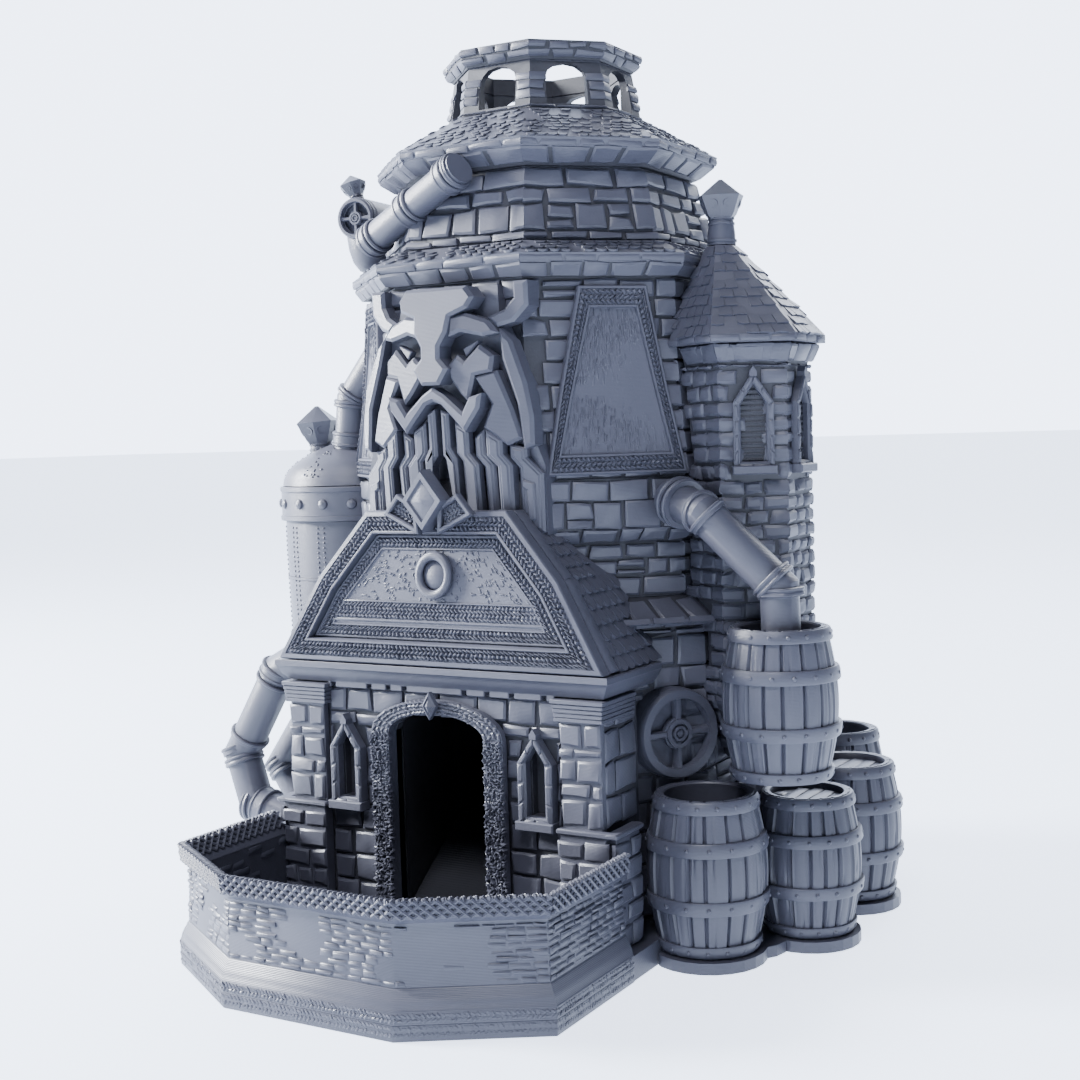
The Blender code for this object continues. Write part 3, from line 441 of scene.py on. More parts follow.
def walls():
    looks = {"skip": behind_gate, "split": 0.2}
    tops = (13.6, 21.5, 30.5, 38.5, 46.5, 54.5, 62.5, 69, 75.4, 84, 86.2)
    tier("foot_wall", FOOT_WALL, 1.4, 62, [(top, 9, looks) for top in tops])
    lip = {"upright": (0, 0), "bevel": 0.3, "drop": 0.2, "cells": (2, 2)}
    tier("ledge_course", LEDGE, 1.2, 56, ((87.8, 9, lip), (93.8, 7.6, {"chip": 0.3})), (62.8, 86.4))
    looks = {"skip": behind_gate, "split": 0.1}
    courses = [(top, length, looks) for top, length in ((100, 11), (104.6, 7.5), (109, 8.5), (112.8, 8))]
    courses += [(120.8, 10, {"skip": behind_mask, "split": 0.15}), (126.8, 12, {"skip": behind_mask})]
    tier("middle_wall", MIDDLE_WALL, 1.4, 55.5, courses, (56.2, 94))
    looks = {"skip": behind_mask, "split": 0.18}
    tops = (133.4, 139.6, 145.4, 152.6, 158.8, 165, 170.2, 175.6, 181)
    tier("main_wall", MAIN_WALL, 1.4, 54.8, [(top, 9.5, looks) for top in tops], (58.6, 127))
    courses = ((184.8, 9.6, {"tilt": 0.1, "upright": (0, 1)}), (187.3, 12.4, ROOF_EDGE))
    tier("lower_eave", LOWER_EAVE, 1, 54.5, courses, (54.4, 181.2), (187.5, 191.4, 3.4, 2, 0.6), 186.5)


def storey():
    wide = {"joint": 1.2}
    courses = ((194.4, 9, {"joint": 0.9, "bevel": 0.4, "drop": 0.3}), (202.2, 8.8,
                                                                       {"joint": 1.2, "split": 0.3}),
               (206.8, 10.6, wide), (212.2, 10.8, wide))
    tier("drum_wall", DRUM_WALL, 1.5, 42.5, courses, body="upper_storey")
    courses = ((216.6, 9.6, {"tilt": 0.1}), (219.2, 9.8, ROOF_EDGE))
    tier("upper_roof", UPPER_ROOF, 1, 43, courses, (42.5, 212.4), (219.5, 230.6, 3, 2.2, 0.42), 218,
         "upper_storey")
    arcade()
    looks = {"tilt": 0.1, "drop": 0.3, "cells": (2, 2)}
    tier("cupola_rim", CUPOLA_RIM, 0.7, 26, ((247.4, 6.4, looks), (250, 6.4, looks)), (26.4, 244.8),
         body="upper_storey")


def arcade():
    """Stones between, below and above the cupola's arches."""
    solid = Solid()
    backing(solid, "cupola_arcade", 0.6, 26)
    seal(solid, 27.6, 231)
    looks = {"joint": 0.5, "base": -1, "drop": 0.3, "cells": (2, 2)}
    levels = (231.2, 233.9, 236.5, 239.2, 241.6, 244.6)
    for z0, z1 in zip(levels, levels[1:]):
        for index in range(8):
            patch = ring_patch(CUPOLA_WALL, index, z0, z1)
            side = 0.5 - (6.5 if z1 < 241 else 5.6) / patch.width
            if z0 > 231.5 and z1 < 243:
                for pair, edges in (((0, side), (0, 1, 1, 1)), ((1 - side, 1), (1, 0, 1, 1))):
                    stone(solid, patch, pair, (0, 1), edges=edges, **looks)
            else:
                cuts, span = (0, 0.5, 1), (0.80, 1)
                if z0 < 232:
                    cuts, span = (0, 0.34, 0.66, 1), (0, 0.40)
                for k, pair in enumerate(zip(cuts, cuts[1:])):
                    stone(solid, patch, pair, span, edges=(int(k > 0), int(k < len(cuts) - 2), 1, 1), **looks)
    solid.make("cupola_arcade", "masonry", body="upper_storey", merge=True)


# ---------------------------------------------------------------- bands and weaves

def offset(outline, distance):
    """Moves a closed outline (counter-clockwise) inwards by a distance, with mitred corners."""
    outline = np.asarray(outline, float)
    before = np.roll(outline, 1, axis=0)
    after = np.roll(outline, -1, axis=0)
    made = []
    for a, b, c in zip(before, outline, after):
        first, second = unit(b - a), unit(c - b)
        n1, n2 = np.array((-first[1], first[0])), np.array((-second[1], second[0]))
        made.append(b + (n1 + n2) / (1 + np.dot(n1, n2)) * distance)
    return np.array(made)


def bead(solid, patch, s, t, length, width, height, angle, lift=0):
    """A short raised stitch lying on a patch at an angle."""
    along = np.array((cos(angle), sin(angle)))
    across = np.array((-along[1], along[0]))
    spots = []
    for level, shrink, squeeze in ((-0.5, 1, 1), (height * 0.55, 0.9, 0.85), (height, 0.55, 0.3)):
        for u, v in ((-1, -1), (1, -1), (1, 1), (-1, 1)):
            step = along * u * length / 2 * shrink + across * v * width / 2 * squeeze
            spots.append((s + step[0] / patch.width, t + step[1] / patch.height, lift + level))
    spots = np.array(spots)
    points = patch.at(spots[:, 0], spots[:, 1], spots[:, 2])
    faces = [(3, 2, 1, 0), (8, 9, 10, 11)]
    for low in (0, 4):
        for k in range(4):
            faces.append((low + k, low + (k + 1) % 4, low + 4 + (k + 1) % 4, low + 4 + k))
    solid.add(points, faces)


def knit(solid, patch, rows, pitch=1.3, height=0.5, wild=0.12, turn=0.65):
    """Rows of slanted stitches, each row leaning against the one below."""
    columns = max(1, round(patch.width / pitch))
    tall = patch.height / rows
    for row in range(rows):
        for column in range(columns):
            s = (column + 0.5 + 0.25 * (row % 2)) / columns
            t = (row + 0.5) / rows
            if s * columns > columns - 0.2:
                continue
            angle = (turn if row % 2 else -turn) + rng.uniform(-wild, wild)
            size = min(pitch * 1.15, tall * 1.6)
            bead(solid, patch, s, t, size * rng.uniform(0.9, 1.1), size * 0.5,
                 height * rng.uniform(1 - wild, 1 + wild), angle)


def strip(place, outer, inner, k, out):
    """The face between side k of an outer outline and the same side of an inner one."""
    following = (k + 1) % len(outer)
    ends = [place(*point) for point in (outer[k], outer[following], inner[k], inner[following])]
    return Patch(*ends, out=out)


def band(solid, place, outer, inner, rows, out, **looks):
    """Knits along the strip between two outlines of equal corner count."""
    for k in range(len(outer)):
        knit(solid, strip(place, outer, inner, k, out), rows, **looks)


def blocks(solid, place, outer, inner, length, out, **looks):
    """Lays dressed blocks along the strip between two outlines."""
    for k in range(len(outer)):
        patch = strip(place, outer, inner, k, out)
        pieces = max(1, round(patch.width / length))
        for j in range(pieces):
            stone(solid, patch, (j / pieces, (j + 1) / pieces), (0, 1), **looks)


def layers(place, *steps):
    """Rings of points, one for each outline and its height off the face."""
    return [[place(x, z, height) for x, z in outline] for outline, height in steps]


def outlined(place, profile, outline):
    """Rings of points: each profile step is an inward distance and a height off the face."""
    return layers(place, *[(offset(outline, distance), height) for distance, height in profile])


def block(solid, x, y, z, bevel=0.4, rough=0):
    """A box with eased edges."""
    rows = []
    for height, shrink in ((z[0], bevel), (z[0] + bevel, 0), (z[1] - bevel, 0), (z[1], bevel)):
        ring = []
        corners = ((x[0], y[0], 1, 1), (x[1], y[0], -1, 1), (x[1], y[1], -1, -1), (x[0], y[1], 1, -1))
        for cx, cy, dx, dy in corners:
            first = (cx + dx * (shrink + bevel), cy + dy * shrink, height)
            second = (cx + dx * shrink, cy + dy * (shrink + bevel), height)
            ring += [second, first] if dx * dy > 0 else [first, second]
        rows.append(ring)
    rows = np.array(rows, float)
    if rough:
        rows = rows + field(rows.reshape(-1, 3), 2.5, 4).reshape(rows.shape) * rough
    solid.grid(rows)


# ---------------------------------------------------------------- gatehouse

FORWARD = (0, -1, 0)
GATE = -66
DOOR = (15.3, 6.8, 59, 65)  # half width, foot, spring and top of the arch


def front(x, z, h=0):
    return np.array((x, GATE - h, z))


def wall_patch(x0, x1, z0, z1, y=GATE):
    return Patch((x0, y, z0), (x1, y, z0), (x0, y, z1), (x1, y, z1), out=FORWARD)


def side_patch(side, y0, y1, z0, z1, x=50.3):
    x *= side
    return Patch((x, y0, z0), (x, y1, z0), (x, y0, z1), (x, y1, z1), out=(side, 0, 0))


def mirrored(side, a, b):
    """A span from a to b on the right, or its mirror image on the left."""
    return (a, b) if side > 0 else (-b, -a)


def row(solid, patch, cuts, **looks):
    """Stones across a patch between the given fractions."""
    for k in range(len(cuts) - 1):
        stone(solid, patch, (cuts[k], cuts[k + 1]), (0, 1), **looks)


def arch(half, foot, spring, top, steps=14):
    outline = [(-half, foot), (half, foot)]
    for step in range(steps + 1):
        angle = pi * step / steps
        outline.append((half * cos(angle), spring + (top - spring) * sin(angle)))
    return outline


def gate_walls():
    solid = Solid()
    points, faces = cad_shape("gatehouse_wall")
    points[:, 1] = np.where(points[:, 1] < -65.5, -64.9, points[:, 1])
    outer = np.abs(points[:, 0]) > 50.2
    points[:, 0] = np.where(outer, np.sign(points[:, 0]) * 49.4, points[:, 0])
    # The CAD wall takes the darker material: painted shade where it shows between the stones.
    solid.add(points, faces, True)
    box = ((0, 1, 3, 2), (4, 6, 7, 5), (0, 4, 5, 1), (2, 3, 7, 6), (0, 2, 6, 4), (1, 5, 7, 3))
    # Thin dark boxes behind the two windows: painted shade in the window openings.
    for side in (-1, 1):
        solid.add([(side * 30.6 + x, y, z) for x in (-4.8, 4.8) for y in (-62.4, -61.9) for z in (37, 62)],
                  box, True)
    for side in (-1, 1):
        for z0, z1 in ((6.8, 15.5), (15.5, 23), (23, 30), (30, 36.8)):
            lower = wall_patch(*mirrored(side, 21, 37.6), z0, z1)
            row(solid, lower, (0, rng.uniform(0.38, 0.62), 1), chip=0.3)
        for z0, z1 in ((36.8, 43), (43, 48.6), (48.6, 54.2), (54.2, 59.6)):
            for a, b in ((21, 25.4), (35.8, 37.7)):
                row(solid, wall_patch(*mirrored(side, a, b), z0, z1), (0, 1), chip=0.25, cells=(2, 2))
        row(solid, wall_patch(*mirrored(side, 19, 37.7), 59.6, 63.4), (0, 0.5, 1))
        for y0, y1, z0, z1 in side_layout():
            stone(solid, side_patch(side, y0, y1, z0, z1), (0, 1), (0, 1), chip=0.3)
    row(solid, wall_patch(-37.7, 37.7, 63.4, 70.4), (0, 0.085, 0.2, 0.34, 0.5, 0.66, 0.78, 0.9, 1))
    cuts = (-37.4, -34.8, -22.4, -16, -10.6, 8.8, 16, 23.6, 33.4, 37.4)
    for x0, x1 in zip(cuts, cuts[1:]):
        block(solid, (x0 + 0.8, x1 - 0.8), (-67.2, -64.6), (70.3, 72.4), 0.25)
    solid.make("gatehouse_wall", "", merge=True, name="gatehouse_masonry")


def side_layout():
    made = []
    levels = (38, 46, 55, 63.5, 71)
    for k, (z0, z1) in enumerate(zip(levels, levels[1:])):
        cut = (-57, -59.6)[k % 2]
        made += [(-66, cut, z0, z1), (cut, -47.6, z0, z1)]
    return made


def pilasters():
    for side, label in ((-1, "left"), (1, "right")):
        solid = Solid()
        block(solid, mirrored(side, 38.2, 50), (-67.4, -65.2), (37, 71.2), 0.2)
        block(solid, mirrored(side, 38, 51.4), (-68.8, -65.2), (6.8, 37.2), 0.2)
        block(solid, mirrored(side, 50.8, 53.8), (-67.6, -54.4), (6.8, 37.2), 0.2)
        levels = (38, 45.4, 49.8, 56, 59, 65.4)
        for z0, z1, cut in zip(levels, levels[1:], (0.62, 0.72, 0.40, 0.34, 0.55)):
            face = wall_patch(*mirrored(side, 37.8, 50.6), z0, z1, -68.2)
            row(solid, face, (0, cut, 1), base=-1.4, chip=0.2, tilt=0.3)
        levels = (6.8, 13.4, 18.6, 24.2, 30, 35.2)
        for k, (z0, z1) in enumerate(zip(levels, levels[1:])):
            cuts = ((0, 0.45, 1), (0, 0.3, 0.66, 1), (0, 0.6, 1), (0, 0.34, 1), (0, 0.5, 1))[k]
            row(solid, wall_patch(*mirrored(side, 37.4, 53.2), z0, z1, -69.6), cuts, base=-1.4, chip=0.2)
            wing = side_patch(side, -69.2, -54, z0, z1, 54.6)
            row(solid, wing, (0, 0.42, 1) if k % 2 else (0, 0.6, 1), base=-1.4, chip=0.2)
        block(solid, mirrored(side, 37.2, 54.2), (-69.6, -66.5), (36.4, 37.8), 0.35, 0.12)
        block(solid, mirrored(side, 51.4, 54.9), (-69.6, -54), (36.4, 37.8), 0.35, 0.12)
        for k in range(5):
            span = (65.5 + 1.18 * k, 66.6 + 1.18 * k)
            grow = 0.1 + 0.045 * k * k
            block(solid, mirrored(side, 37 - grow, 50.9 + grow), (-68.5 - grow, -65.2), span, 0.16, 0.08)
            block(solid, mirrored(side, 48.9, 50.9 + grow), (-66, -50), span, 0.16, 0.08)
        solid.make("pilaster_" + label, "quoins")


def lancet(half, sill, top):
    shoulder = top - 1.5 * half
    return [(-half, sill), (half, sill), (half, shoulder), (0, top), (-half, shoulder)]


def window(solid, place, out, half=5.2, hole=2.8, sill=37.2, top=61.6, proud=2.8):
    """A pointed window: block frame, moulded inner edge, sill and finial."""
    outer = np.array(lancet(half, sill, top))
    inner = np.array(lancet(hole + 0.5, sill + 2, top - 3))

    def lifted(x, z, h=0):
        return place(x, z, proud + h)

    core = np.array(lancet(hole, sill + 2.4, top - 3.4))
    solid.grid(layers(place, (outer, -0.6), (outer, proud - 0.5), (inner, proud - 0.5), (core, proud - 1),
                      (core, -0.6)), ring=True)
    blocks(solid, lifted, outer, inner, 4.6, out, base=-1, joint=0.45, drop=0.3, bevel=0.4, chip=0.16,
           cells=(2, 2))
    z0, z1 = sill - 1, sill + 1.4
    rows = []
    for h, grow in ((-0.6, 0), (proud + 0.5, 0), (proud + 0.9, -0.3)):
        reach = half + 0.5 + grow
        ring = ((-reach, z0 - grow), (reach, z0 - grow), (reach, z1 + grow), (-reach, z1 + grow))
        rows.append([place(x, z, h) for x, z in ring])
    solid.grid(rows)
    tip = ((-1, top - 1.2), (1, top - 1.2), (1, top), (0, top + 1.5), (-1, top))
    solid.grid(layers(place, (tip, -0.4), (tip, proud - 0.4), (tip, proud + 0.1)))


def gem(solid, middle, wide, tall, steps):
    """A four-sided gem on the front, as (scale, y) steps from its back."""
    ring = ((wide, 0), (0, tall), (-wide, 0), (0, -tall))
    solid.grid([[(x * scale, y, middle + z * scale) for x, z in ring] for scale, y in steps])


def door():
    solid = Solid()
    outer = np.array(arch(21.2, 6.8, 59, 68.8))
    inner = np.array(arch(*DOOR))
    solid.grid(layers(front, (outer, 0.4), (outer, 2.4), (inner, 2.6), (inner, -3.4)), ring=True)

    def place(x, z):
        return front(x, z, 2.5)

    for k in range(1, len(outer)):
        patch = strip(place, outer, inner, k, FORWARD)
        if patch.width < 0.5:
            continue
        if k in (1, len(outer) - 1):
            columns, lines = round(patch.width / 0.95), 7
            for column in range(columns):
                for line in range(lines):
                    bead(solid, patch, (column + rng.uniform(0.2, 0.8)) / columns,
                         (line + rng.uniform(0.2, 0.8)) / lines, rng.uniform(0.9, 1.6),
                         rng.uniform(0.45, 0.8), rng.uniform(0.3, 1.2), rng.uniform(0, pi))
        else:
            knit(solid, patch, 4, 1.5, 0.5, wild=0.35, turn=0.3)
    solid.make("door_surround", "relief", "knit")

    solid = Solid()
    gem(solid, 67.6, 2.3, 3.8, ((1, -69.5), (1, -71), (0.72, -71.5), (0.6, -71.1), (0.08, -71.9)))
    solid.make("door_keystone", "gem", "smooth")

    for side, label in ((-1, "left"), (1, "right")):

        def place(x, z, h=0):
            return front(x + side * 30.6, z, h)

        solid = Solid()
        window(solid, place, FORWARD)
        solid.make("gate_window_" + label, "frame")


def cornice():
    solid = Solid()
    rows = []
    steps = ((71.8, 0.2), (72.6, 0.6), (73.4, 1.4), (74.6, 2), (75.6, 2.4), (76, 2.8), (77.3, 2.8),
             (77.6, 2.5))
    for z, grow in steps:
        x, y = 50.6 + grow, -66.9 - grow
        plan = ((-x, -38), (-x, y), (x, y), (x, -38), (46.5, -38), (46.5, -62), (-46.5, -62), (-46.5, -38))
        rows.append([(*spot, z) for spot in plan])
    solid.grid(rows)
    solid.make("gatehouse_cornice", "moulding", "smooth")


# ---------------------------------------------------------------- gable

def gable(x, z, h=0):
    """A point on the gable's leaning front."""
    return np.array((x, -69.6 + 0.098 * (z - 78) - h, z))


GABLE = np.array(((52.2, 78), (38.4, 101.4), (22.6, 119.6), (-22.6, 119.6), (-38.4, 101.4), (-52.2, 78)))


def gable_front():
    solid = Solid()
    profile = ((0, -3.8), (0, -0.5), (0.3, -0.1), (1.4, 0.1), (1.6, -0.35), (1.8, -0.35), (5.3, -0.35),
               (5.4, 0.25),
               (5.6, 0.4), (6, 0.4), (6.2, 0.1), (6.3, -2.5))
    solid.grid(outlined(gable, profile, GABLE))

    def lift(x, z):
        return gable(x, z, -0.35)

    band(solid, lift, offset(GABLE, 1.8), offset(GABLE, 5.3), 3, FORWARD, pitch=1.35, height=0.85, wild=0.3)
    solid.make("gable_facade", "relief", "knit")

    solid = Solid()
    base = offset(GABLE, 6.6)
    profile = ((0, -2.5), (0, -1.9), (0.2, -1.7), (0.6, -1.7), (0.8, -1.95), (3.4, -1.95), (3.5, -1.5),
               (3.9, -1.5),
               (4.1, -1.9))
    solid.grid(outlined(gable, profile, base))

    def place(x, z):
        return gable(x, z, -1.95)

    band(solid, place, offset(base, 0.8), offset(base, 3.3), 2, FORWARD, pitch=1.3, height=0.75, wild=0.3)
    for z0, z1, rows in ((89.2, 90, 0), (90.2, 94.4, 4), (94.5, 95.1, 0)):
        reach0, reach1 = (36.6 - (z - 86) * 0.64 for z in (z0, z1))
        ends = [place(x, z) for x, z in ((-reach0, z0), (reach0, z0), (-reach1, z1), (reach1, z1))]
        patch = Patch(*ends, out=FORWARD)
        if rows:
            knit(solid, patch, rows, 1.25, 0.6, wild=0.3)
        else:
            stone(solid, patch, (0, 1), (0, 1), top=0.5, base=-0.4, joint=0, drop=0.2, chip=0.05, tilt=0,
                  cells=(8, 2))
    panel = Patch(*[gable(x, z, -1.75) for x, z in ((-32, 95.3), (32, 95.3), (-20.5, 109.6), (20.5, 109.6))],
                  out=FORWARD)
    for _ in range(330):
        s, t = rng.random(), rng.random()
        bead(solid, panel, s, t, rng.uniform(0.5, 1.4), rng.uniform(0.35, 0.6), rng.uniform(0.08, 0.28),
             rng.choice((0, pi / 2)), -0.1)
    solid.make("gable_panel", "relief", "knit")

    solid = Solid()
    rows = []
    for angle in around(40):
        ring = [(4.7 + 1.15 * cos(turn), -0.6 + 1.2 * sin(turn)) for turn in around(12)]
        rows.append([gable(reach * cos(angle), 102.4 + reach * 1.12 * sin(angle), height) for reach,
                     height in ring])
    solid.grid(rows, ring=True)
    rows = []
    for radius, height in ((3.7, -2.2), (3.7, -1.4), (3, -0.9), (1.8, -0.5), (0.3, -0.35)):
        rows.append([gable(radius * cos(angle), 102.4 + radius * 1.12 * sin(angle), height)
                     for angle in around(24)])
    solid.grid(rows)
    solid.make("gable_porthole", "ring", "smooth")

    solid = Solid()
    gem(solid, 122.6, 6.6, 8.3, ((1, -66.5), (1, -70.8), (0.93, -71.5), (0.70, -71.5), (0.63, -70.9),
                                 (0.10, -71.7)))

    def place(x, z, h=0):
        return np.array((x, -66.8 - h, z))

    profile = ((0, 0), (0, 1.9), (0.3, 2.3), (1, 2.3), (1.3, 1.9), (1.3, 0))
    for side in (-1, 1):
        outline = np.array(((3, 113.4), (14.2, 118.8), (9.6, 124.4), (3.4, 121)))
        if side < 0:
            outline = outline[::-1] * np.array((-1, 1))
        solid.grid(outlined(place, profile, outline), ring=True)
        inner = offset(outline, 1.2)
        ends = [place(*inner[k], 0.6) for k in ((0, 1, 3, 2) if side > 0 else (3, 2, 0, 1))]
        patch = Patch(*ends, out=FORWARD)
        stone(solid, patch, (0, 1), (0, 1), base=-0.6, joint=0, drop=0, chip=0, tilt=0)
        knit(solid, patch, 4, 1.1, 0.5, wild=0.2)
    solid.make("gable_gem", "cluster", "smooth")


def gable_tiles():
    solid = Solid()
    solid.add(*cad_shape("gable_roof"))
    spine = ((51.6, 78), (37.8, 101.2), (22.2, 119))
    for side in (-1, 1):
        for (x0, z0), (x1, z1), limit in ((spine[0], spine[1], -36), (spine[1], spine[2], -44)):
            y0, y1 = (-65.2 + 0.098 * (z - 78) for z in (z0, z1))

            def slope(low, high):
                """The roof's face between two lines, each given as its depths at the foot and the top."""
                return Patch((side * x0, low[0], z0), (side * x0, high[0], z0), (side * x1, low[1], z1),
                             (side * x1, high[1], z1), out=(side, 0, 1))

            scales(solid, slope((y0 + 3.4, y1 + 3.4), (limit, limit)), 4.2, 4.3, 1)
            stone(solid, slope((y0, y1), (y0 + 4.4, y1 + 4.4)), (0, 1), (0, 1), top=1.1, base=-0.4, joint=0,
                  drop=0.3,
                  chip=0.12, tilt=0, cells=(3, 12))
    top = Patch(*[(x, y, 119) for y in (-60, -50) for x in (-22.2, 22.2)], out=UP)
    scales(solid, top, 4.2, 4, 0.5)
    solid.make("gable_roof", "tiles", merge=True)


# ---------------------------------------------------------------- turret

def turret():
    solid = Solid()
    points, faces = cad_shape("turret_wall")
    centre = np.array(TURRET["centre"])
    away = points[:, :2] - centre
    reach = np.hypot(away[:, 0], away[:, 1])
    points[:, :2] = centre + away * np.where(reach > 12, (reach - 1) / np.maximum(reach, 0.01), 1)[:, None]
    # The turret's CAD wall takes the darker material: painted shade in the joints between its bricks.
    solid.add(points, faces, True)
    shaft = ((7, 48), (18.4, 66), (18.4, 156.6), (20.8, 161.6))

    def hidden(point):
        """Bricks inside the tower or behind a window frame are left out."""
        x, y, z = point
        angle = (atan2(x, -y) + EIGHTH) % (pi / 4) - EIGHTH
        wall = radius_at(FOOT_WALL + LEDGE + MIDDLE_WALL + MAIN_WALL, z)
        if hypot(x, y) * cos(angle) < wall * cos(EIGHTH):
            return True
        for turn in (radians(30), radians(90)):
            spot = centre + np.array((sin(turn), -cos(turn))) * 15.9
            if 127 < z < 155 and hypot(x - spot[0], y - spot[1]) < 4.6:
                return True
        return False

    z = 50
    while z < 155.5:
        tall = rng.uniform(3.7, 4.7)
        top = min(z + tall, 156.6)
        course(solid, shaft, z, top, 5.6, skip=hidden, joint=0.9, bevel=0.7, drop=0.55, chip=0.3, tilt=0.3,
               cells=(2, 2), shape=TURRET)
        z = top
    course(solid, shaft, 156.7, 161.6, 8.6, skip=hidden, joint=0.7, drop=0.4, top=0.3, cells=(3, 3),
           shape=TURRET)
    solid.make("turret_wall", "", merge=True, name="turret_masonry")

    flat = 18.4 * cos(pi / 6)
    for label, facet in (("front", radians(30)), ("side", radians(90))):
        outwards, sideways = facing(facet)

        def place(x, z, h=0):
            return np.array((*centre, 0)) + outwards * (flat + h) + sideways * x + np.array((0, 0, z))

        solid = Solid()
        window(solid, place, outwards, half=5.4, hole=3.4, sill=128, top=154.2, proud=1.8)
        ends = [place(x, z, -0.9) for x, z in ((-3.5, 130.2), (3.5, 130.2), (-3.5, 150), (3.5, 150))]
        pane = Patch(*ends, out=outwards)
        before = len(solid.faces)
        stone(solid, pane, (0, 1), (0, 1), base=-0.3, joint=0, drop=0, chip=0, tilt=0)
        knit(solid, pane, 14, 1.5, 0.45, wild=0.05, turn=0)
        # The pane and its weave take the darker material: painted shade inside the recessed window.
        solid.joints[before:] = [True] * (len(solid.faces) - before)
        solid.make("turret_window_" + label, "frame")

    solid = Solid()
    solid.add(*cad_shape("turret_roof"))
    apex = np.array((61, -9.5))
    for index in range(6):
        low = [ring_corner(22.4, 164.2, k, **TURRET) for k in (index - 1, index)]
        high = [ring_corner(4.4, 189.5, k, 6, 0, apex) for k in (index - 1, index)]
        spot = sum(low + high) / 4
        if hypot(spot[0], spot[1]) < 58:
            continue
        patch = Patch(*low, *high, out=(spot[0] - 62, spot[1] + 10, 8))
        scales(solid, patch, 3.6, 3.4, 0.6, 0.22, rounded=False)
    for index in range(6):
        patch = ring_patch(((22.4, 162), (22.4, 164.3)), index, 162, 164.2, **TURRET)
        for pair in ((0, 0.34), (0.34, 0.7), (0.7, 1)):
            if not hidden(patch.at(0.5, 0.5)):
                stone(solid, patch, pair, (0, 1), top=0.4, base=-0.8, joint=0.5, drop=0.3, cells=(2, 2))
    solid.make("turret_roof", "shingles", merge=True)


# ---------------------------------------------------------------- mask and framed panels

MASK = ((112.8, 29, 56.6, 61), (121, 30, 56.6, 62.4), (152, 30, 56.4, 64.4), (166, 24, 55.8, 64),
        (179.6, 16, 56, 61))


def mask_point(x, z, h=0):
    """A point off the mask's bowed ground: flat in the middle, falling back to both sides."""
    heights = [entry[0] for entry in MASK]
    half, side, nose = (float(np.interp(z, heights, [entry[k] for entry in MASK])) for k in (1, 2, 3))
    nose -= 4.6
    fall = min(max((abs(x) - half * 0.45) / (half * 0.55), 0), 1.2)
    return np.array((x, -(nose + (side - 2.6 - nose) * fall) - h, z))


def plate(solid, place, outline, low, high, bevel=0.5):
    """A raised plate with chamfered edges; the outline runs counter-clockwise."""
    outline = np.asarray(outline, float)
    turn = np.roll(outline, -1, axis=0)
    if np.sum(outline[:, 0] * turn[:, 1] - turn[:, 0] * outline[:, 1]) < 0:
        outline = outline[::-1]
    solid.grid(outlined(place, ((0, low), (0, high - bevel), (bevel, high)), outline))


def both(solid, place, outline, low, high, bevel=0.5):
    """The same plate on the right and mirrored on the left."""
    plate(solid, place, outline, low, high, bevel)
    plate(solid, place, [(-x, z) for x, z in outline], low, high, bevel)


def whole(half):
    """Completes a right-hand outline, listed from the top to the bottom, with its mirror image."""
    return list(half) + [(-x, z) for x, z in reversed(half) if x > 0.01]


